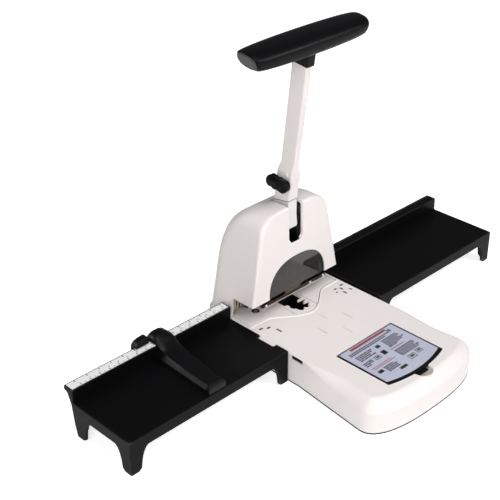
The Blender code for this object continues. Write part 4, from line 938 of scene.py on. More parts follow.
def recess_tree() -> Tree:
    """Screw heads with a crossed recess on the host's points.

    Returns:
        Tree with inputs Radius, Height, Turn and Material.
    """
    tree, start, end = geometry_tree("crossed_heads", Radius="Float", Height="Float", Turn="Vector")
    head = add_node(tree, "GeometryNodeMeshCylinder",
                    {"Vertices": HEAD_STEPS, "Radius": start["Radius"], "Depth": start["Height"]})
    cut = add_node(tree, "GeometryNodeMeshBoolean", {"Mesh 1": head.outputs["Mesh"]}, operation="DIFFERENCE")
    lift = add_node(tree, "ShaderNodeCombineXYZ", {2: math_node(tree, "MULTIPLY", start["Height"], 0.5)})
    for shares in (RECESS_SHARES, RECESS_SHARES[::-1]):
        wide, deep = (math_node(tree, "MULTIPLY", start["Radius"], share) for share in shares)
        size = add_node(tree, "ShaderNodeCombineXYZ", {0: wide, 1: deep, 2: start["Height"]})
        bar = add_node(tree, "GeometryNodeMeshCube", {"Size": size.outputs[0]})
        raised = add_node(tree, "GeometryNodeTransform",
                          {"Geometry": bar.outputs["Mesh"], "Translation": lift.outputs[0]})
        fill(tree, cut, {"Mesh 2": raised.outputs["Geometry"]})
    place = add_node(tree, "GeometryNodeInstanceOnPoints",
                     {"Points": start["Geometry"], "Instance": cut.outputs["Mesh"],
                      "Rotation": start["Turn"]})
    close_tree(tree, start, end, place.outputs["Instances"])
    return tree


@dataclass
class Growers:
    """The Geometry Nodes trees of this object."""

    bars: Tree = field(default_factory=bar_tree)
    coil: Tree = field(default_factory=coil_tree)
    heads: Tree = field(default_factory=recess_tree)


GROWERS = Growers()


def grow(name: str, tree: Tree, finish_name: str, values: dict[str, object],
         points: Sequence[Point3] = ()) -> Piece:
    """Runs a tree on a host and keeps the result as a plain mesh.

    Args:
        name: the object's name.
        tree: the Geometry Nodes tree.
        finish_name: key of its finish.
        values: its other inputs by name, lengths in metres.
        points: the host's points in millimetres.

    Returns:
        The object with a mesh and no modifiers.
    """
    mesh = bpy.data.meshes.new(name)
    mesh.from_pydata([tuple(value * MM for value in point) for point in points], [], [])
    piece = add_object(name, mesh)
    modifier = piece.modifiers.new(name, "NODES")
    modifier.node_group = tree
    sockets = {item.name: item.identifier for item in tree.interface.items_tree
               if item.item_type == "SOCKET" and item.in_out == "INPUT"}
    for label, value in {**values, "Material": finish(finish_name)}.items():
        modifier[sockets[label]] = value
    bpy.context.view_layer.update()
    evaluated(piece)
    return piece


@dataclass(frozen=True)
class Screws:
    """Crossed screw heads of one size, at several places of the machine."""

    name: str
    radius: float
    height: float
    turn: Point3
    finish_name: str
    points: Sequence[Point3]

    def build(self, nodes: Sequence[str]) -> None:
        """Grows the heads in place of the given CAD nodes."""
        heads = grow(self.name, GROWERS.heads, self.finish_name,
                     {"Radius": self.radius * MM, "Height": self.height * MM, "Turn": self.turn}, self.points)
        publish(heads, self.finish_name, Body.MACHINE, nodes)


# Base, deck and storage


@dataclass
class Base:
    """Nosed base shell with its deck openings, the die set, the storage lid and the drawer."""

    half: float = 62.2
    nose_half: float = 71.0
    nose_length: float = 25.0
    nose_reach: float = 187.5
    nose_power: float = 2.5
    back_reach: float = 38.5
    back_corner: float = 14.0
    rim_ramp: float = 50.0
    wall: float = 2.5
    bottom: float = 1.5
    rim: float = 11.0
    rim_bend: float = 1.42
    rim_small: float = 1.5
    lid_half: float = 37.2
    lid_back: float = 105.8
    lid_corner: float = 164.5
    lid_tip: float = 170.3
    lid_top: float = 31.3
    die_half: float = 57.2
    die_step_half: float = 53.5
    die_edge: float = 20.7
    bell_reach: float = 41.2
    bell_half: float = 38.0
    bell_fullness: float = 0.7
    notch_reach: float = 171.5
    notch_radius: float = 9.5
    flank_ramp: float = 12.0
    rim_start: float = 90.0
    rim_land: float = 0.7
    edge_drop: float = 0.6
    step_back: float = 3.0
    plate_back: float = 22.0
    plate_gap: float = 0.7
    plate_rise: float = 0.3
    lip_outer: float = 2.6
    lip_rise: float = 0.75
    lid_gap: float = 0.45
    lid_thickness: float = 2.8
    groove_width: float = 1.24
    groove_length: float = 12.5
    screw_x: float = 36.0
    screw_reach: float = 4.7
    insert_half: float = 13.0
    insert_front: float = 36.0
    insert_back: float = 4.0
    insert_rise: float = 0.2
    drawer_half: float = 31.0
    drawer_top: float = 20.5
    catch_reaches: Point2 = (89.5, 76.0)
    catch_z: Point2 = (25.6, 29.6)
    through: Point2 = (26.0, 37.0)
    die_through: Point2 = (26.0, 34.0)

    def outline(self, inset: float) -> list[Point3]:
        """Plan outline of the base, moved inwards: x, y and rim radius of each point."""
        half: list[Point2] = []
        steps = 44
        for step in range(steps + 1):
            turn = math.pi / 2 * (1 - step / steps)
            across = (self.nose_half - inset) * math.cos(turn) ** (2 / self.nose_power)
            along = (self.nose_length - inset) * math.sin(turn) ** (2 / self.nose_power)
            half.append((across, front(self.nose_reach - self.nose_length) - along))
        for step in range(1, 7):
            share = step / 7
            side = (self.nose_half + (self.half - self.nose_half) * share) - inset
            start = self.nose_reach - self.nose_length
            half.append((side, front(start + (TABLE_DEPTH + self.flank_ramp - start) * share)))
        for step in range(5):
            half.append((self.half - inset, front(TABLE_DEPTH + self.flank_ramp * (1 - step / 4))))
        corner = (self.half - self.back_corner, back(self.back_reach - self.back_corner))
        half += arc(corner, self.back_corner - inset, 0, 90, 14)
        points = half + [(-x, y) for x, y in reversed(half[1:])]
        rim = []
        for x, y in points:
            share = ease(clamp((front(self.rim_start) - y) / self.rim_ramp))
            rim.append((x, y, self.rim_small + (self.rim - self.rim_small) * share))
        return rim

    def rim_solid(self, name: str, inset: float, bottom: float, top: float) -> Piece:
        """An upright wall that turns over into a flat deck.

        Args:
            name: the object's name.
            inset: how far it lies inside the outer face.
            bottom: its lowest z.
            top: its deck's z.

        Returns:
            The solid.
        """
        outline = self.outline(inset)
        count = len(outline)
        loops = [[(x, y, bottom) for x, y, _ in outline]]
        steps = 10
        for step in range(steps + 2):
            turn = math.pi / 2 * min(step / steps, 1.0)
            flat = self.rim_land if step > steps else 0.0
            loop = []
            for i, (x, y, radius) in enumerate(outline):
                before = Vector(outline[i - 1][:2])
                after = Vector(outline[(i + 1) % count][:2])
                along = (after - before).normalized()
                inwards = Vector((-along.y, along.x))
                round_by = max(radius - inset, self.rim_small / 2)
                shift = inwards * (round_by * (1 - max(math.cos(turn), 0.0) ** self.rim_bend) + flat)
                loop.append((x + shift.x, y + shift.y,
                             top - round_by * (1 - math.sin(turn) ** self.rim_bend)))
            loops.append(loop)
        return loft(name, loops)

    def lid_outline(self, grow_by: float) -> list[Point2]:
        """Plan outline of the lid, grown or shrunk all round; its front bulges."""
        half = self.lid_half + grow_by
        bulge = self.lid_tip - self.lid_corner
        points = [(-half, front(self.lid_back - grow_by)), (-half, front(self.lid_corner + grow_by))]
        for step in range(1, 24):
            share = step / 24
            rise = bulge * (1 - (2 * share - 1) ** 2)
            points.append((-half + 2 * half * share, front(self.lid_corner + grow_by + rise)))
        return points + [(half, front(self.lid_corner + grow_by)), (half, front(self.lid_back - grow_by))]

    def panel_outline(self, border: float) -> list[Point2]:
        """Plan outline of the panel in the lid: an even border, wider along the bulging front."""
        shift = border + 1.5
        points = []
        for index, (x, y) in enumerate(self.lid_outline(-border)):
            if index in (1, 25):
                y = front(self.lid_corner - shift)
            elif 1 < index < 25:
                y += shift - border
            points.append((x, y))
        return points

    def bell_outline(self, grow_by: float) -> list[Point2]:
        """Plan outline of the die plate: square at the back, a bell towards the user."""
        step_y = back(self.step_back - GAP + grow_by)
        points = [(-self.die_half - grow_by, step_y),
                  (-self.die_half - grow_by, front(self.die_edge - self.edge_drop + grow_by))]
        steps = 36
        for step in range(steps + 1):
            share = step / steps
            swell = ((1 + math.cos(math.pi * (2 * share - 1))) / 2) ** self.bell_fullness
            along = self.die_edge + (self.bell_reach - self.die_edge) * swell
            points.append((-self.bell_half + 2 * self.bell_half * share, front(along + grow_by)))
        points.append((self.die_half + grow_by, front(self.die_edge - self.edge_drop + grow_by)))
        points += [(self.die_half + grow_by, step_y), (self.die_step_half + grow_by, step_y),
                   (self.die_step_half + grow_by, back(self.plate_back + grow_by)),
                   (-self.die_step_half - grow_by, back(self.plate_back + grow_by)),
                   (-self.die_step_half - grow_by, step_y)]
        return points

    def build_shell(self) -> None:
        """The shell: deck, openings, grooves, tongue, catch slots and drawer opening."""
        shell = self.rim_solid("base_housing", 0.0, self.bottom, DECK_TOP)
        carve(shell, [self.rim_solid("inner", self.wall, self.bottom - 5, DECK_TOP - self.wall)])
        carve(shell,
              [slab("tongue", (-TONGUE_END, -61.0), (front(TONGUE_FRONT), front(TONGUE_BACK)),
                    (TONGUE_BOTTOM, DECK_TOP))], "UNION")
        above = self.through[1]
        cuts = [prism("lid_cut", self.lid_outline(self.lid_gap), self.through, Axis.Z),
                prism("plate_cut", self.bell_outline(self.plate_gap), self.through, Axis.Z),
                rod("notch", self.notch_radius, (24, above), (0, front(self.notch_reach)), Axis.Z, 56),
                slab("drawer_cut", (-self.drawer_half, self.drawer_half),
                     (back(self.back_reach - 6), back(self.back_reach + 4)), (-4, self.drawer_top))]
        for x, reach in ((1.6, 53.3), (18.6, 69.6), (-16.5, 70.2), (1.0, 86.0)):
            cuts.append(tile("groove", x, reach, self.groove_width, self.groove_length,
                             (DECK_TOP - 0.6, above)))
        for side in (-1, 1):
            cuts.append(slab("catch", (side * 57.0, side * 67.0), tuple(map(front, self.catch_reaches)),
                             self.catch_z))
            for reach in PEG_REACHES:
                cuts.append(rod("peg_hole", PEG_RADIUS + GAP, sorted((side * 58.0, side * 64.0)),
                                (front(reach), PEG_Z), Axis.X))
        cuts.append(slab("side_groove", (58.1, 59.4), (front(18.0), front(0.5)), (DECK_TOP - 1.0, above)))
        carve(shell, cuts)
        divide(shell, (Axis.X, Axis.Y))
        smooth(shell, 28, True)
        publish(shell, "housing", Body.MACHINE, ["base_shell"])
        # Painted shade: black blocks inside the catch slots make them read dark.
        slot_shade_blocks = [slab("slot_shade_block", (side * 59.0, side * 61.5), (front(90.0), front(75.5)),
                        (25.2, 29.9)) for side in (-1, 1)]
        publish(merge("catch_slot_shade", slot_shade_blocks), "stop", Body.MACHINE)
        lip = prism("bell_lip", self.bell_outline(self.lip_outer), (28.8, DECK_TOP + self.lip_rise), Axis.Z)
        carve(lip, [prism("bell_gap", self.bell_outline(self.plate_gap), self.through, Axis.Z),
                    slab("behind", (-80, 80), (front(1.0), back(60)), (20, 40))])
        soften(lip, 0.6, 3, STEEP_ANGLE)
        dress(lip, "housing", Body.MACHINE)
        self.build_scoop()

    def build_scoop(self) -> None:
        """Shallow bowl under the finger notch, open towards the lid."""
        middle = (0.0, front(self.notch_reach))
        bowl = turned("notch_scoop",
                      [(9.35, 30.9), (9.35, 28.0), (8.6, 25.6), (6.6, 24.0), (3.6, 23.2), (0.4, 23.0)],
                      middle,
                      Axis.Z, 56)
        hollow = turned("hollow",
                        [(9.9, 34.0), (8.7, 30.6), (8.5, 28.4), (7.7, 26.4), (5.8, 25.0), (3.2, 24.3),
                         (0.3, 24.1)],
                        middle, Axis.Z, 56)
        under_lid = slab("under_lid", (-12, 12), (front(172.2), front(155.0)), (28.1, 40))
        under_tab = slab("under_tab", (-6.6, 6.6), (front(174.2), front(160.0)), (28.1, 40))
        carve(bowl, [hollow, under_lid, under_tab])
        dress(bowl, "housing", Body.MACHINE, angle=40)

    def build_die_set(self) -> None:
        """Die plate with its screws and black rings of painted shade in their recesses, the insert with its
        ragged mouth and two fingers in it that are painted highlights, and the marks beside them.
        """
        plate = prism("die_plate_finished", self.bell_outline(0.0),
                      (DECK_TOP - 2.5, DECK_TOP + self.plate_rise), Axis.Z)
        screws = [(side * self.screw_x, front(self.screw_reach)) for side in (-1, 1)]
        cuts = [slab("insert_cut", (-13.7, 13.7), (front(36.7), front(3.4)), self.die_through)]
        for side, place in zip((-1, 1), screws):
            cuts.append(turned("screw_recess", [(3.7, DECK_TOP - 1.6), (4.1, DECK_TOP + 1.0)], place, Axis.Z))
            cuts.append(rod("screw_way", 1.8, self.die_through, place, Axis.Z))
            cuts.append(rod("bolt_way", 2.3, self.die_through, (side * 31.0, back(10.0)), Axis.Z))
        carve(plate, cuts)
        soften(plate, 0.55, 2, STEEP_ANGLE)
        divide(plate, (Axis.X, Axis.Y))
        dress(plate, "housing", Body.MACHINE, ["die_plate"])

        depth = self.insert_front - self.insert_back
        # The two off-white fingers from the right side of the mouth are painted highlights.
        mouth = [(x * self.insert_half, front(self.insert_back + y * depth)) for x, y in MOUTH_AND_HIGHLIGHT_SHARES]
        insert = slab("die_insert_finished", (-self.insert_half, self.insert_half),
                      (front(self.insert_front), front(self.insert_back)),
                      (DECK_TOP - 2.2, DECK_TOP + self.insert_rise))
        carve(insert, [prism("mouth", mouth, self.die_through, Axis.Z)])
        soften(insert, 0.2, 2, STEEP_ANGLE)
        divide(insert, (Axis.X, Axis.Y), 3.0)
        dress(insert, "housing", Body.MACHINE, ["die_insert"])

        heads = Screws("die_plate_screw_heads", 1.9, 1.2, (0.0, 0.0, 0.5), "satin",
                       [(*place, DECK_TOP - 0.55) for place in screws])
        heads.build(["die_plate_screw_left", "die_plate_screw_right"])
        # Painted shade: black rings line the screw recesses in the die plate.
        profile = [(1.6, DECK_TOP - 1.5), (3.6, DECK_TOP - 1.5), (3.8, DECK_TOP + 0.1), (2.2, DECK_TOP - 0.3),
                   (1.6, DECK_TOP - 0.6)]
        publish(merge("screw_sink_shade", [turned("sink_shade_ring", profile, place, Axis.Z) for place in screws]), "table",
                Body.MACHINE)
        self.build_marks()

    def build_marks(self) -> None:
        """Small printed position marks on the deck, left and right of the die plate."""
        z = (DECK_TOP, DECK_TOP + 0.05)
        bars = []
        for x, reach, wide, deep in ((-53.8, 29.5, 3.2, 1.3), (-47.5, 33.0, 3.0, 1.3),
                                     (-43.6, 42.5, 1.0, 5.0),
                                     (55.2, 30.5, 3.0, 1.2), (50.2, 35.0, 1.2, 2.6), (45.2, 31.5, 2.4, 1.1),
                                     (47.6, 42.0, 1.1, 3.6), (56.2, 41.5, 1.0, 2.4), (42.0, 36.4, 1.4, 1.0)):
            bars.append(tile("mark", x, reach, wide * 1.2 + 0.5, deep * 1.2 + 0.5, z))
        publish(merge("deck_marks", bars), "mark", Body.MACHINE)

    def build_storage(self) -> None:
        """Black lid with its tab, the panel in it with generic print, and the tray under it."""
        bottom = self.lid_top - self.lid_thickness
        radius = self.lid_thickness / 2
        axis = (front(self.lid_back) - radius, self.lid_top - radius)
        lid = prism("storage_lid_finished", [(x, min(y, axis[0])) for x, y in self.lid_outline(0.0)],
                    (bottom, self.lid_top),
                    Axis.Z)
        carve(lid, [rod("barrel", radius, (-self.lid_half, self.lid_half), axis, Axis.X),
                    rod("pins", 0.7, (-40.2, 40.2), axis, Axis.X, 16),
                    slab("tab", (-6, 6), (front(173.5), front(164.5)), (bottom, bottom + 1.4))], "UNION")
        carve(lid,
              [prism("panel_recess", self.panel_outline(1.5), (self.lid_top - 0.5, self.lid_top + 4),
                     Axis.Z)])
        soften(lid, 0.25, 2, 40)
        dress(lid, "stop", Body.LID, ["storage_lid"])
        panel_top = self.lid_top + 0.15
        panel = prism("lid_panel", self.panel_outline(1.75), (self.lid_top - 0.4, panel_top), Axis.Z)
        soften(panel, 0.15, 2, STEEP_ANGLE)
        dress(panel, "label", Body.LID, ["lid_label"])
        self.build_print(panel_top)
        refine("storage_tray", "table", Body.MACHINE, 0.25)

    def build_print(self, top: float) -> None:
        """Generic print on the panel: a title bar, broken rules in two columns and plain pictures."""
        z = (top, top + 0.04)
        red = [slab(name, x, (front(far), front(near)), z) for name, x, far, near in
               (("title", (-23.5, 24.0), 111.3, 108.6), ("rule", (-31.0, -6.0), 141.6, 140.9),
                ("rule", (-30.0, -2.0), 143.6, 142.9), ("rule", (3.0, 21.0), 134.2, 133.4))]
        publish(merge("panel_title", red), "red", Body.LID)
        dark = []
        row = 0
        for low, wide, start, rows in PRINT_BLOCKS:
            for step in range(rows):
                reach = start + step * 2.15
                length = wide * ROW_SHARES[row % len(ROW_SHARES)]
                pieces = max(2, round(wide / (3.4 + row % 3)))
                for part in range(pieces):
                    ends = (low + length * part / pieces, low + length * (part + 0.86) / pieces)
                    dark.append(slab("row", ends, (front(reach + 1.45), front(reach)), z))
                row += 1
        for x, reach, wide, deep in PRINT_PICTURES:
            plain = tile("picture", x, reach, wide, deep, z)
            if round(reach) % 2:
                carve(plain, [tile("picture_hole", x, reach, wide - 1.4, deep - 1.4, (z[0] - 1, z[1] + 1))])
            core = slab("picture_core", (x - wide / 4, x + wide / 3.4),
                        (front(reach + deep / 6), front(reach - deep / 4)), z)
            dark += [plain, core]
        publish(merge("panel_rows", dark), "ink", Body.LID)

    def build(self) -> None:
        """Builds and dresses the base."""
        self.build_shell()
        self.build_die_set()
        self.build_storage()
        refine("chip_drawer", "stop", Body.DRAWER, 0.35)
        paint(["bed_casting", "lower_die", "base_plate"], "blackened")
        # A dark rubber-finished band that fills the gap between the base's bottom edge and the floor.
        band_outline, room = ([(x, y) for x, y, _ in self.outline(inset)] for inset in (-0.1, self.wall))
        edge = prism("base_bottom_band", band_outline, (0.1, self.bottom - 0.02), Axis.Z)
        carve(edge, [prism("band_room", room, (-5, 10), Axis.Z)])
        publish(edge, "rubber", Body.MACHINE)
        paint([f"rubber_foot_{i}" for i in (1, 2, 3, 4)], "rubber")
        points = [(x, back(28.5), 1.2) for x in (-52.0, 52.0)] + [(x, front(162.5), 1.2) for x in (-56.0,
                                                                                                   56.0)]
        heads = Screws("base_screw_heads", 3.0, 1.0, (math.pi, 0.0, 0.4), "screw", points)
        heads.build([f"base_screw_{i}" for i in (1, 2, 3, 4)])


# Head


@dataclass
class Head:
    """Hood over the punch head, its smoked window, and the works inside."""

    bottom: float = 31.3
    top: float = 135.0
    bottom_half: float = 60.8
    slope: float = 0.195
    overhang: float = 50.5
    front_low: float = 22.5
    front_high: float = 19.8
    back_reach: float = 37.0
    shoulder: float = 17.5
    shoulder_share: float = 1.1
    sweep: float = 60.0
    draw: float = 47.0
    power: float = 2.4
    wall: float = 2.5
    slot_half: float = 9.0
    slot_bottom: float = 98.5
    slot_back: float = 7.0
    window_half: float = 37.3
    window_top: float = 83.6
    window_power: float = 2.4
    window_shift: float = 1.8
    window_sill: float = 0.6
    screw_x: float = 20.0
    screw_z: float = 60.0
    nip: float = 2.4
    corner_low: float = 2.2
    corner_growth: float = 2.6
    corner_start: float = 70.0
    corner_rise: float = 60.0
    corner_power: float = 1.4
    rear_corner: float = 14.5
    slot_corner: float = 5.0

    def section(self, z: float, inset: float) -> tuple[float, float, float, float]:
        """Half width, front, back and front corner radius of the hood at a height."""
        top = self.top - inset
        half = self.bottom_half - (z - DECK_TOP) * self.slope - inset
        lift = max((z - (top - self.shoulder)) / self.shoulder, 0.0)
        half -= self.shoulder * self.shoulder_share * (1 - math.sqrt(max(1 - lift ** 2, 0.0)))
        back_lift = max((z - (top - self.sweep)) / self.sweep, 0.0)
        rear = self.back_reach - inset
        rear -= self.draw * (1 - max(1 - back_lift ** self.power, 0.0) ** (1 / self.power))
        share = (z - self.overhang) / (self.top - self.overhang)
        face = -(self.front_low + (self.front_high - self.front_low) * share) + inset
        front_lift = max((z - (top - self.nip)) / self.nip, 0.0)
        face += self.nip * (1 - math.sqrt(max(1 - front_lift ** 2, 0.0)))
        lean = clamp((z - self.corner_start) / self.corner_rise)
        corner = self.corner_low + self.corner_growth * lean ** self.corner_power
        return half, face, rear, max(corner - inset * 0.6, 1.0)

    def solid(self, name: str, inset: float, bottom: float) -> Piece:
        """The hood's outer or inner solid, lofted through level sections."""
        top = self.top - inset
        stations = [bottom, self.overhang]
        low = top - self.sweep
        stations += [self.overhang + (low - self.overhang) * step / 6 for step in range(1, 6)]
        steps = 30
        stations += [low + self.sweep * math.sin(math.pi / 2 * step / steps) for step in range(steps + 1)]
        loops = []
        for z in stations:
            half, face, rear, corner = self.section(z, inset)
            corner = min(corner, (rear - face) * 0.4)
            rear_corner = min(self.rear_corner - inset, (rear - face - corner) * 0.8)
            plan = round_box(half, face, rear, corner, rear_corner, 9)
            loops.append([(x, FENCE_Y + y, z) for x, y in plan])
        return loft(name, loops)

    def window_outline(self, shrink: float, bottom: float) -> list[Point2]:
        """Arched outline of the window, (x, z)."""
        half = self.window_half - shrink
        rise = self.window_top - shrink - self.overhang - self.window_sill
        middle = self.window_shift
        points = [(middle - half, bottom)]
        steps = 56
        for step in range(steps + 1):
            turn = math.pi * (1 - step / steps)
            share = abs(math.cos(turn)) ** (2 / self.window_power)
            height = math.sin(turn) ** (2 / self.window_power) if 0 < step < steps else 0.0
            x = middle + math.copysign(half * share, math.cos(turn))
            points.append((x, self.overhang + self.window_sill + rise * height))
        return points + [(middle + half, bottom)]

    def build_hood(self) -> None:
        """The hood with its slot, throat and window opening."""
        hood = self.solid("hood_finished", 0.0, self.bottom)
        carve(hood, [self.solid("hood_inner", self.wall, self.bottom - 5)])
        ahead = front(30.0)
        throat = slab("throat", (-66, 66), (ahead, back(3.0)), (26, self.overhang))
        corner = self.slot_corner
        slot = [(-self.slot_half, self.top + 5)]
        slot += arc((-self.slot_half + corner, self.slot_bottom + corner), corner, 180, 270, 10)
        slot += arc((self.slot_half - corner, self.slot_bottom + corner), corner, 270, 360, 10)
        slot.append((self.slot_half, self.top + 5))
        cuts = [throat, prism("slot", slot, (ahead, back(self.slot_back)), Axis.Y),
                prism("window_cut", self.window_outline(0.0, 46.0), (ahead, front(17.5)), Axis.Y)]
        for side in (-1, 1):
            cuts.append(rod("screw_way", 1.8, (back(24), back(42)), (side * self.screw_x, self.screw_z),
                            Axis.Y))
        cuts.append(prism("lever_relief", [(52.8, 99.4), (52.8, 98.9), (57.6, 94.0), (57.6, 99.4)],
                          (-6.4, 6.4), Axis.X))
        carve(hood, cuts)
        divide(hood, (Axis.X, Axis.Y, Axis.Z), 6.0)
        dress(hood, "housing", Body.MACHINE, ["hood"], 30)
        # Painted shade: black plates beside the slot, inside the hood, make the gaps around the lever read
        # dark.
        slot_shade_plates = [slab("slot_shade_plate", (side * 11.0, side * 11.6), (front(16.6), back(5.5)),
                       (94.0, 128.0)) for side in (-1, 1)]
        publish(merge("slot_shade_lining", slot_shade_plates), "table", Body.MACHINE)

    def build_window(self) -> None:
        """The arched pane, leaning back with the hood's face."""
        foot = self.front_low - 0.7
        pane = prism("window_pane", self.window_outline(0.3, self.overhang + 0.3),
                     (front(foot), front(foot - 1.5)), Axis.Y)
        soften(pane, 0.2, 2, STEEP_ANGLE)
        lean = math.atan((self.front_low - self.front_high) / (self.top - self.overhang))
        base = Vector((0, front(foot), self.overhang)) * MM
        bake_place(pane,
                   Matrix.Translation(base) @ Matrix.Rotation(-lean, 4, "X") @ Matrix.Translation(-base))
        dress(pane, "smoked", Body.MACHINE, ["smoked_window"])

    def build_stripper(self) -> None:
        """Stripper darkened as painted shade on its face, a bright strip along its lower edge as a painted
        highlight, its pins, and the brassy ribs at the throat's ends.
        """
        refine("stripper_plate", "shade_darkened_brass", Body.MACHINE, 0.3)
        # Painted highlight: a thin bright strip along the stripper's lower front edge.
        edge = slab("stripper_highlight_strip", (-41.6, 41.6), (front(21.25), front(20.9)), (43.15, 43.7))
        pins = [turned("pin", [(1.1, front(21.7)), (1.3, front(21.4)), (1.3, front(20.8))], (x, 45.2), Axis.Y,
                       24)
                for x in (-38.6, 20.5, 38.6)]
        publish(edge, "satin", Body.MACHINE)
        publish(merge("stripper_pins", pins), "satin", Body.MACHINE)
        ribs = [slab("rib", (side * x, side * (x + 1.7)), (back(1.8), back(2.9)), (DECK_TOP + 7.0, 49.5))
                for side in (-1, 1) for x in (44.4, 48.0, 51.6, 55.0)]
        publish(merge("throat_ribs", ribs), "brass", Body.MACHINE)

    def build_springs(self) -> None:
        """Return springs round the guide posts."""
        start, end, wire = 49.7, 77.7, 0.7
        for side, hand in ((-1, "left"), (1, "right")):
            place = (side * 26.0 * MM, front(9.5) * MM, (start + wire) * MM)
            height = (end - start - 2 * wire) * MM
            coil = grow(f"return_coil_{hand}", GROWERS.coil, "chrome",
                        {"Turns": 7.0, "Radius": 6.3 * MM, "Height": height, "Wire": wire * MM,
                         "Place": place})
            dress(coil, "chrome", Body.MACHINE, [f"return_spring_{hand}"], 60)
            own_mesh(coil)

    def build(self) -> None:
        """Builds and dresses the head."""
        self.build_hood()
        self.build_window()
        self.build_springs()
        paint(["frame_left_plate", "frame_right_plate", "frame_bridge", "frame_rear_tie", "paper_stop_plate"],
              "blackened")
        paint(["guide_post_left", "guide_post_right", "lever_axle", "axle_clip_left", "axle_clip_right",
               "frame_bolt_left",
               "frame_bolt_right"], "chrome")
        self.build_stripper()
        refine("ram", "blackened", Body.RAM, 0.4)
        refine("punch", "chrome", Body.RAM, 0.2)
        paint(["punch_screw_left", "punch_screw_right"], "screw")
        heads = Screws("hood_screw_heads", 3.0, 1.0, (-math.pi / 2, 0.0, 0.0), "screw",
                       [(side * self.screw_x, back(37.8), self.screw_z) for side in (-1, 1)])
        heads.build(["hood_screw_left", "hood_screw_right"])


# Lever, knob and grip


def lever_place() -> Matrix:
    """Matrix from the lever's own upright frame to its place at rest, in metres."""
    turn = Matrix.Rotation(math.radians(LEVER_LEAN), 4, "X")
    return Matrix.Translation(Vector((0, back(PIVOT_BACK), PIVOT_Z)) * MM) @ turn


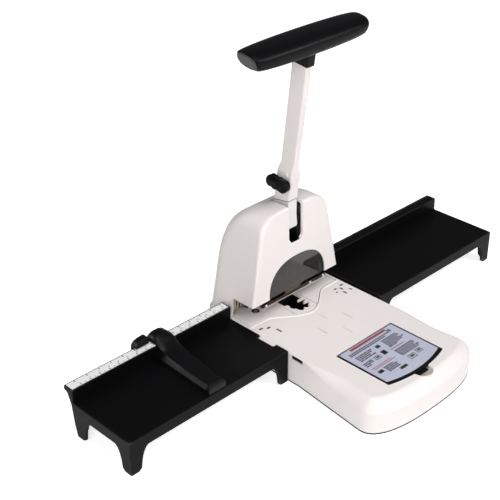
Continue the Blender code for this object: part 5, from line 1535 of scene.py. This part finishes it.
@dataclass
class Lever:
    """Bright inner lever, off-white arm, wing knob and black T grip, built upright at the pivot."""

    socket_half: float = 6.0
    socket_front: float = 14.9
    socket_back: float = 3.4
    socket_top: float = 60.0
    arm_half: float = 3.5
    arm_front: float = 13.6
    arm_back: float = 4.0
    arm_start: float = 70.0
    arm_top: float = 171.5
    knob_up: float = 51.5
    knob_x: float = 8.0
    knob_thickness: float = 9.0
    grip_up: float = 185.0
    grip_forward: float = 5.1
    grip_half: float = 70.1
    grip_depth: float = 15.3
    grip_height: float = 9.8
    tip_depth: float = 0.79
    tip_height: float = 0.77
    slant: float = 0.91
    bar_inset: float = 0.9
    socket_start: float = 19.5
    arm_round: float = 1.3
    rivet_ups: Point2 = (38.0, 59.2)
    rivet_back: float = 3.5
    rivet_bore: float = 2.3
    stud_bore: float = 2.8
    pin_radius: float = 14.3
    pin_angle: float = 35.0
    roundness: float = 0.8
    loop_steps: int = 48

    @property
    def centre(self) -> float:
        """How far the arm's middle plane lies in front of the pivot."""
        return (self.socket_front - 4.9) / 2

    @property
    def rivet_y(self) -> float:
        """Where the rivets sit, seen from the pivot."""
        return -self.centre - self.rivet_back

    def place(self, piece: Piece, finish_name: str, body: Body, nodes: Sequence[str], angle: float) -> None:
        """Shades a piece that was built upright, puts it in its place and publishes it."""
        smooth(piece, angle)
        bake_place(piece, lever_place())
        publish(piece, finish_name, body, nodes)

    def build_arm(self) -> None:
        """The arm: a socket that narrows to a flat bar."""
        levels = [(self.socket_start, self.socket_half, -self.socket_front, self.socket_back),
                  (self.socket_top, self.socket_half, -self.socket_front, self.socket_back)]
        for step in range(1, 8):
            share = step / 8
            change = ease(share)
            levels.append((self.socket_top + (self.arm_start - self.socket_top) * share,
                           self.socket_half + (self.arm_half - self.socket_half) * change,
                           -self.socket_front + self.bar_inset * change,
                           self.socket_back - self.bar_inset * change))
        levels += [(self.arm_start, self.arm_half, -self.socket_front + self.bar_inset,
                    self.socket_back - self.bar_inset),
                   (self.arm_top, self.arm_half, -self.arm_front, self.arm_back)]
        loops = [[(x, y, z) for x, y in round_box(half, face, rear, self.arm_round, self.arm_round, 4)] for z,
                 half, face, rear in levels]
        arm = loft("arm_finished", loops)
        foot = prism("foot_cut", [(-19, 36.2), (9, 27.6), (9, 10), (-19, 10)], (-10, 10), Axis.X)
        room = slab("tang_room", (-4.8, 4.8), (-13.2, 2.4), (15, 64.3))
        bores = [rod("rivet_way", self.rivet_bore, (-10, 10), (self.rivet_y, up),
                     Axis.X) for up in self.rivet_ups]
        bores.append(rod("stud_way", self.stud_bore, (-10, 10), (-self.centre, self.knob_up), Axis.X))
        carve(arm, [foot, room] + bores)
        self.place(arm, "housing", Body.LEVER, ["upper_arm"], 30)
        for name, up in zip(("lower", "upper"), self.rivet_ups):
            profile = [(0.9, -7.1), (1.7, -6.9), (2.2, -6.3), (2.2, 6.3), (1.7, 6.9), (0.9, 7.1)]
            rivet = turned(f"rivet_{name}_finished", profile, (self.rivet_y, up), Axis.X, 28)
            self.place(rivet, "zinc", Body.LEVER, [f"arm_rivet_{name}"], 40)

    def build_inner(self) -> None:
        """The bright inner lever: a thick plate with its hub at the axle and a tang up into the arm."""
        outline = [(-16.4, 5.0), (-18.2, 6.0), (-18.9, 8.4), (-16.5, 18.2), (-14.6, 33.9), (2.8, 28.5)]
        outline += arc((0, 0), 11.0, 20, -110, 20)
        plate = prism("inner_lever_finished", outline, (-5.7, 5.7), Axis.X)
        soften(plate, 0.5, 3)
        tang = slab("lever_tang", (-4.5, 4.5), (-12.9, 2.1), (20.0, 64.0))
        carve(plate, [tang], "UNION")
        bores = [rod("hub_bore", 5.3, (-8, 8), (0, 0), Axis.X, 32),
                 rod("pin_bore", self.stud_bore, (-8, 8), self.pin_place(), Axis.X),
                 rod("stud_bore", self.stud_bore, (-8, 8), (-self.centre, self.knob_up), Axis.X)]
        bores += [rod("rivet_bore", self.rivet_bore, (-8, 8), (self.rivet_y, up),
                      Axis.X) for up in self.rivet_ups]
        carve(plate, bores)
        self.place(plate, "zinc", Body.LEVER, ["inner_lever"], 35)
        # Painted shadow: a thin black wedge under the arm's foot, where the arm shades the inner lever.
        shadow_line = prism("arm_foot_shadow_line", [(-14.5, 34.75), (2.6, 29.5), (2.6, 28.7), (-14.5, 33.95)], (-5.5, 5.5),
                     Axis.X)
        bake_place(shadow_line, lever_place())
        publish(shadow_line, "table", Body.LEVER)

    def pin_place(self) -> Point2:
        """Where the cross pin sits in the upright frame."""
        lean, angle = math.radians(LEVER_LEAN), math.radians(self.pin_angle)
        y, z = -self.pin_radius * math.cos(angle), self.pin_radius * math.sin(angle)
        return (y * math.cos(lean) + z * math.sin(lean), -y * math.sin(lean) + z * math.cos(lean))

    def build_knob(self) -> None:
        """The two-lobed wing knob with its hub."""
        middle = -self.centre
        lobe, spread, roll = 6.0, 6.5, 3.6
        deep = self.knob_thickness
        loops = []
        turns = [math.pi / 2 * step / 8 for step in range(9)]
        levels = [(0.0, 1.2), (0.7, 0.3)]
        levels += [(deep - roll * (1 - math.sin(turn)), roll * (1 - math.cos(turn))) for turn in turns]
        for along, inset in levels:
            points: list[Point2] = []
            for side, begin in ((1, -75), (-1, 105)):
                points += arc((side * spread + middle, self.knob_up), lobe - inset, begin, begin + 150, 20)
                points.append((middle, self.knob_up + side * (lobe * 0.80 - inset)))
            loops.append([(-self.knob_x - along, y, z) for y, z in round_corners(points, 2.0, 4)])
        knob = loft("wing_knob_finished", loops)
        end = -self.knob_x - deep
        hub = turned("hub", [(3.4, end - 0.7), (4.2, end - 0.2), (4.4, end + 1.5), (4.4, -self.knob_x + 0.9)],
                     (middle, self.knob_up), Axis.X, 36)
        carve(knob, [hub], "UNION")
        self.place(knob, "grip", Body.KNOB, ["wing_knob"], STEEP_ANGLE)
        paint(["knob_stud"], "screw")

    def grip_loop(self, share: float, size: float = 1.0, beyond: float = 0.0) -> list[Point3]:
        """One section of the grip, or of a cap beyond its end.

        Args:
            share: place along half the grip, from -1 to 1.
            size: how much of the full section it takes.
            beyond: how far past its place it lies, in millimetres.

        Returns:
            The loop; towards the ends it slants in at the bottom.
        """
        swell = math.sqrt(max(1 - share ** 2, 0.0))
        depth = self.grip_depth * (self.tip_depth + (1 - self.tip_depth) * swell)
        height = self.grip_height * (self.tip_height + (1 - self.tip_height) * swell)
        loop = []
        for step in range(self.loop_steps):
            turn = 2 * math.pi * step / self.loop_steps
            across, rise = (math.copysign(abs(value) ** self.roundness, value) for value in (math.cos(turn),
                                                                                             math.sin(turn)))
            across, rise = across * size, height * rise * size
            slant = self.slant * (height - rise) / 2 * abs(share)
            loop.append((share * (self.grip_half + beyond - slant), -self.grip_forward + depth * across,
                         self.grip_up + rise))
        return loop

    def build_grip(self) -> None:
        """The barrel-shaped grip, its neck and its end caps."""
        steps = 60
        loops = [self.grip_loop(-1.0, 0.93, 0.0)]
        for step in range(steps + 1):
            share = -math.cos(math.pi * step / steps)
            loops.append(self.grip_loop(share, 1.0, -0.9 * abs(share) ** 40))
        loops.append(self.grip_loop(1.0, 0.93, 0.0))
        grip = loft("grip_finished", loops)
        self.place(grip, "grip", Body.LEVER, ["grip"], STEEP_ANGLE)
        neck = prism("neck_finished", [(-14.7, 165.5), (2.0, 165.5), (2.0, 179.0), (-14.7, 179.0)],
                     (-4.7, 4.7), Axis.X)
        carve(neck, [slab("neck_room", (-3.8, 3.8), (-13.9, 6.0), (160.0, 171.8))])
        soften(neck, 0.5, 3, STEEP_ANGLE)
        self.place(neck, "grip", Body.LEVER, ["grip_neck"], SHARP_ANGLE)
        for side, hand in ((-1.0, "left"), (1.0, "right")):
            shares = ((0.0, 0.90), (0.5, 0.88), (0.85, 0.80), (1.0, 0.70))
            loops = [self.grip_loop(side, size, GAP + 1.2 * along) for along, size in shares]
            cap = loft(f"grip_cap_{hand}_finished", loops)
            self.place(cap, "cap", Body.LEVER, [f"grip_cap_{hand}"], 40)

    def build(self) -> None:
        """Builds and dresses the lever."""
        self.build_inner()
        paint(["yoke_pin"], "chrome")
        self.build_arm()
        self.build_knob()
        self.build_grip()


# Side tables, ruler and stop


@dataclass
class Tables:
    """Both side tables, and the ruler on the left fence."""

    inner: float = 63.2
    outer: float = 242.5
    depth: float = TABLE_DEPTH
    top: float = 33.0
    wall: float = 2.5
    fence_top: float = 46.0
    fence_width: float = 11.5
    skirt: float = 22.5
    leg_foot: float = 11.5
    foot_round: float = 3.5
    leg_head: float = 20.0
    heel_z: float = 11.0
    heel_head_share: float = 0.27
    heel_foot_share: float = 0.21
    number_size: float = 3.1

    @property
    def heel_head(self) -> float:
        """How far the heel lies behind the fence face at its top."""
        return self.fence_width * self.heel_head_share

    @property
    def heel_foot(self) -> float:
        """How far the heel lies behind the fence face at the floor, less than nothing as it draws in."""
        return -self.fence_width * self.heel_foot_share

    @property
    def heel_middle(self) -> float:
        """How far the heel lies behind the fence face where it bends."""
        return (self.heel_foot + self.heel_head) / 2

    def profile(self) -> list[Point2]:
        """Outline seen along X, with the fence and the drawn-in heel: (y, z)."""
        middle = (self.heel_head + self.fence_width) / 2
        return [(front(self.depth), 0), (back(self.heel_foot), 0), (back(self.heel_middle), self.heel_z),
                (back(self.heel_head), 30.5), (back(middle), 40.4), (back(self.fence_width), 42.5),
                (back(self.fence_width), self.fence_top), (back(0), self.fence_top), (back(0), self.top),
                (front(self.depth), self.top)]

    def leg_curve(self, edge: float, direction: int) -> list[Point2]:
        """Curved inner side of a leg, from its foot up to the skirt."""
        points = []
        steps = 14
        for step in range(steps + 1):
            share = step / steps
            width = self.leg_foot + (self.leg_head - self.leg_foot) * (1 - math.cos(math.pi / 2 * share))
            z = self.skirt * math.sin(math.pi / 2 * share)
            if z < self.foot_round:
                width -= self.foot_round - math.sqrt(self.foot_round ** 2 - (self.foot_round - z) ** 2)
            points.append((edge + direction * width, z))
        return points

    def build_table(self, side: int, prefix: str, body: Body) -> None:
        """One table: a hollow deck on four angled corner legs, with a fence along its back."""
        ends = tuple(sorted((side * self.inner, side * self.outer)))
        table = prism(f"{prefix}_table_finished", self.profile(), ends, Axis.X)
        inside, ceiling = front(self.depth - self.wall), self.top - self.wall
        room = [(inside, -4), (back(self.heel_foot - self.wall), -4),
                (back(self.heel_middle - self.wall), self.heel_z),
                (back(self.heel_head - self.wall), ceiling), (inside, ceiling)]
        room_ends = tuple(sorted((side * (self.inner + self.wall), side * (self.outer - self.wall))))
        cuts = [prism("room", room, room_ends, Axis.X)]
        foot = self.leg_foot - self.foot_round
        span = [(self.inner + foot, -4.0)] + self.leg_curve(self.inner, 1)
        span += self.leg_curve(self.outer, -1)[::-1] + [(self.outer - foot, -4.0)]
        cuts.append(prism("front_gate", [(side * x, z) for x, z in span], (front(self.depth + 4), back(16)),
                          Axis.Y))
        near, far = front(self.depth), back(self.heel_foot)
        span = [(near + foot, -4.0)] + self.leg_curve(near, 1) + self.leg_curve(far, -1)[::-1]
        span.append((far - foot, -4.0))
        cuts.append(prism("end_gate", span, (ends[0] - 4, ends[1] + 4), Axis.X))
        if side < 0:
            cuts.append(slab("notch", (-TONGUE_END - GAP, 4 - self.inner),
                             (front(TONGUE_FRONT + GAP), front(TONGUE_BACK - GAP)),
                             (TONGUE_BOTTOM - GAP, 40)))
        carve(table, cuts)
        soften(table, 0.7, 3, 30)
        late = [slab("fence_foot", (ends[0] + 0.8, ends[1] - 0.8), (front(1.0), back(0.0)),
                     (self.top, self.top + 0.9))]
        if side < 0:
            late.append(slab("strip_bed", (-241.2, -64.6), (back(1.1), back(10.6)), (45.6, 48)))
        carve(table, late)
        divide(table, (Axis.X, Axis.Y, Axis.Z))
        dress(table, "table", body, [f"{prefix}_table"], 35)

    def build_pegs(self) -> None:
        """Short pegs on each table that plug into the base's side."""
        for side, prefix, body in ((-1, "left", Body.LEFT_TABLE), (1, "right", Body.RIGHT_TABLE)):
            pegs = []
            for reach in PEG_REACHES:
                ends = ((PEG_RADIUS - 0.6, side * 55.6), (PEG_RADIUS, side * 56.4), (PEG_RADIUS, side * 65.4))
                pegs.append(turned("peg", sorted(ends, key=lambda pair: pair[1]), (front(reach), PEG_Z),
                                   Axis.X, 24))
            publish(merge(f"{prefix}_table_pegs", pegs), "table", body)

    def build_ruler(self) -> None:
        """White strip on the left fence with centimetre and half inch bars and plain numbers."""
        low, high = 45.65, 45.98
        strip = slab("ruler_strip_finished", (-241.0, -64.8), (back(1.3), back(10.4)), (low, high))
        soften(strip, 0.12, 1)
        publish(strip, "strip", Body.LEFT_TABLE, ["left_ruler"])
        z = (high + 0.02) * MM
        first = -231.1
        rows = (("centimetres", 17, 10.0, first, 2.8, 2.8, 0.7),
                ("half_centimetres", 17, 10.0, first + 5, 2.4, 2.0, 0.4),
                ("millimetres", 171, 1.0, first - 5, 1.9, 1.0, 0.16),
                ("half_inches", 14, 12.7, first - 2.0, 9.0, 2.6, 0.8),
                ("eighth_inches", 55, 3.175, first - 2.0, 9.7, 1.2, 0.28))
        for name, count, step, start, reach, length, width in rows:
            bars = grow(f"ruler_{name}", GROWERS.bars, "tick",
                        {"Count": count, "Start": (start * MM, back(reach) * MM, z),
                         "Step": (step * MM, 0.0, 0.0),
                         "Bar": (width * MM, length * MM, 0.04 * MM)})
            publish(bars, "tick", Body.LEFT_TABLE)
        numbers = [self.number(str(step),
                               (first + 10.0 * step + 0.7, back(4.4), high + 0.02)) for step in range(1, 17)]
        publish(merge("ruler_numbers", numbers), "tick", Body.LEFT_TABLE)

    def number(self, text: str, place: Point3) -> Piece:
        """A plain number as a flat mesh, its lower left corner at a place."""
        curve = bpy.data.curves.new("number", "FONT")
        curve.body = text
        curve.size = self.number_size * MM
        curve.extrude = 0.02 * MM
        curve.resolution_u = 2
        guide = add_object("number_guide", curve)
        bpy.context.view_layer.update()
        mesh = bpy.data.meshes.new_from_object(guide.evaluated_get(bpy.context.evaluated_depsgraph_get()))
        bpy.data.objects.remove(guide, do_unlink=True)
        mesh.transform(Matrix.Translation(Vector(place) * MM))
        return add_object("number", mesh)

    def build(self) -> None:
        """Builds and dresses the tables."""
        self.build_table(-1, "left", Body.LEFT_TABLE)
        self.build_table(1, "right", Body.RIGHT_TABLE)
        self.build_pegs()
        self.build_ruler()


@dataclass
class SideStop:
    """The sliding stop: a barrel-shaped hub over the fence, a bevelled bar with a curled end, and its latch.

    Its sections run from its back end, behind the fence face, to its front end over the table.
    """

    floor: float = 33.4
    back_end: float = 14.3
    front_end: float = 71.6
    section_step: float = 1.5
    left: float = -154.2
    right: float = -129.2
    left_taper: float = 2.1
    right_taper: float = 8.5
    bar_top: float = 39.6
    left_bevel: float = 3.0
    right_bevel: float = 1.2
    curl_rise: float = 1.4
    hub_reach: float = 13.0
    hub_seat: float = 41.0
    hub_top: float = 52.7

    def bar(self, left: float, right: float, top: float) -> list[Point2]:
        """Section of the plain bar, (x, z)."""
        low, high = left + self.left_bevel, right - self.right_bevel
        points = [(left, self.floor), (left, top - self.left_bevel), (low, top)]
        points += [(low + (right - left - (self.left_bevel + self.right_bevel)) * step / 10,
                    top) for step in range(1, 10)]
        return points + [(high, top), (right, top - self.right_bevel), (right, self.floor)]

    def crown(self, left: float, right: float, top: float, full: float) -> list[Point2]:
        """Section of the barrel-shaped hub, (x, z), with as many points as the bar's."""
        wide = (right - left) / 2
        points = [(left, self.floor)]
        for step in range(13):
            turn = math.pi * (1 - step / 12)
            rise = math.sin(turn) ** full if 0 < step < 12 else 0.0
            across = math.copysign(abs(math.cos(turn)) ** full, math.cos(turn))
            points.append((left + wide * 0.97 + across * wide * 0.94,
                           self.hub_seat + (top - self.hub_seat) * rise))
        return points + [(right, self.floor)]

    def section(self, along: float) -> list[Point3]:
        """Section of the stop at a distance behind the fence face."""
        y = -max(min(along, self.back_end), -self.front_end)
        hub = 1 / (1 + (max(y + 10.0, 0.0) / self.hub_reach) ** 3)
        share = clamp(y / self.front_end)
        nip = 1.6 * (1 - math.sqrt(1 - clamp((along - 12.3) / 2.0) ** 2))
        left, right = self.left - self.left_taper * share + nip, self.right - self.right_taper * share - nip
        curl = self.curl_rise * clamp((y - 66.5) / 2.5) * (1 - 1.4 * clamp((y - 70.2) / 1.4) ** 2)
        bar = self.bar(left, right, self.bar_top + curl)
        crown = self.crown(left, right, self.hub_top - nip, 0.4 + 0.4 * clamp(-y / 8.0))
        shares = [hub * (0.3 if place in (1, 2) else 1.0) for place in range(len(bar))]
        return [(a[0] + (b[0] - a[0]) * share, front(y), a[1] + (b[1] - a[1]) * share) for a, b,
                share in zip(bar, crown, shares)]

    def build(self) -> None:
        """Builds and dresses the stop."""
        places = [self.back_end, 13.9, 13.0] + [12.0 - self.section_step * step for step in range(62)]
        last = next(i for i, along in enumerate(places) if -along >= self.front_end)
        stop = loft("side_stop_finished", [self.section(along) for along in places[:last + 1]])
        carve(stop, [slab("channel", (-160, -120), (front(0.4), back(11.9)), (29, 46.5)),
                     slab("rear_cut", (-160, -120), (back(0.4), back(18.3)), (29.4, 39.5))])
        soften(stop, 0.3, 2, STEEP_ANGLE)
        dress(stop, "stop", Body.STOP, ["side_stop"], 38)
        refine("stop_latch", "stop", Body.STOP, 0.9, 4)


# Studio


@dataclass
class Studio:
    """Pale floor, soft lamps and the camera at the photograph's angle."""

    eye: Point3 = (-649.0, -547.2, 594.8)
    target: Point3 = (0.6, 114.1, 63.6)
    roll: float = -0.27
    lens: float = 80.06
    ground_light: float = 0.70
    ground: Colour = (0.86, 0.86, 0.86)
    air: Colour = (0.96, 0.97, 1.0)
    air_light: float = 0.20

    def build_floor(self) -> None:
        """Floor that shows white to the eye and keeps the object's shadow."""
        floor = slab("studio_floor", (-6000, 6000), (-6000, 6000), (-4, -0.05))
        material, tree, shader, _ = start_material("studio_paper")
        path = add_node(tree, "ShaderNodeLightPath").outputs
        seen = math_node(tree, "ADD", path["Is Camera Ray"], path["Is Glossy Ray"], True)
        seen = math_node(tree, "ADD", seen, path["Is Transmission Ray"], True)
        fill(tree, shader, {"Base Color": (*self.ground, 1.0), "Roughness": 0.9, "Specular IOR Level": 0.0,
                            "Emission Color": (1.0, 1.0, 1.0, 1.0),
                            "Emission Strength": math_node(tree, "MULTIPLY", seen, self.ground_light)})
        floor.data.materials.append(material)

    def build_lamp(self, name: str, place: Point3, size: float, power: float, aim: Point3 = (0.0, 0.0, 60.0),
                   sheen_only: bool = False) -> None:
        """A square soft lamp that looks at the object, or one that only shows in its sheen."""
        data = bpy.data.lights.new(name, "AREA")
        data.shape = "SQUARE"
        data.size = size * MM
        data.energy = power
        lamp = add_object(name, data)
        lamp.location = Vector(place) * MM
        lamp.visible_diffuse = not sheen_only
        lamp.rotation_euler = (Vector(aim) - Vector(place)).to_track_quat("-Z", "Y").to_euler()

    def build_camera(self) -> None:
        """Camera at the photograph's viewing angle."""
        data = bpy.data.cameras.new("photo_camera")
        data.lens = self.lens
        data.sensor_width = 36.0
        data.clip_start = 0.05
        data.clip_end = 40.0
        camera = add_object("photo_camera", data)
        eye = Vector(self.eye)
        forward = (Vector(self.target) - eye).normalized()
        right = forward.cross(Vector((0, 0, 1))).normalized()
        up = right.cross(forward)
        roll = math.radians(self.roll)
        across = right * math.cos(roll) + up * math.sin(roll)
        upward = up * math.cos(roll) - right * math.sin(roll)
        turn = Matrix((across, upward, -forward)).transposed().to_4x4()
        camera.matrix_world = Matrix.Translation(eye * MM) @ turn
        bpy.context.scene.camera = camera

    def build(self) -> None:
        """Builds the studio."""
        scene = bpy.context.scene
        scene.view_settings.view_transform = "Standard"
        world = bpy.data.worlds.new("studio_world")
        scene.world = world
        world.use_nodes = True
        sky = {"Color": (*self.air, 1.0), "Strength": self.air_light}
        fill(world.node_tree, world.node_tree.nodes["Background"], sky)
        self.build_floor()
        self.build_lamp("key_lamp", (400.0, -1380.0, 1280.0), 900.0, 14.2)
        self.build_lamp("fill_lamp", (-1500.0, -900.0, 900.0), 1100.0, 19.3)
        self.build_lamp("top_lamp", (0.0, -500.0, 1850.0), 1000.0, 12.2)
        self.build_lamp("glint_lamp", (900.0, -1050.0, 740.0), 420.0, 8.0, (0.0, 60.0, 280.0), True)
        self.build_lamp("edge_lamp", (-900.0, 1200.0, 1180.0), 700.0, 8.0, (-100.0, 0.0, 40.0), True)
        self.build_camera()


def main() -> None:
    """Builds every sub-assembly, then the studio."""
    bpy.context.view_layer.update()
    for part in (Base(), Head(), Lever(), Tables(), SideStop(), Studio()):
        log.info("sub-assembly %s", type(part).__name__)
        part.build()


if __name__ == "__main__":
    main()
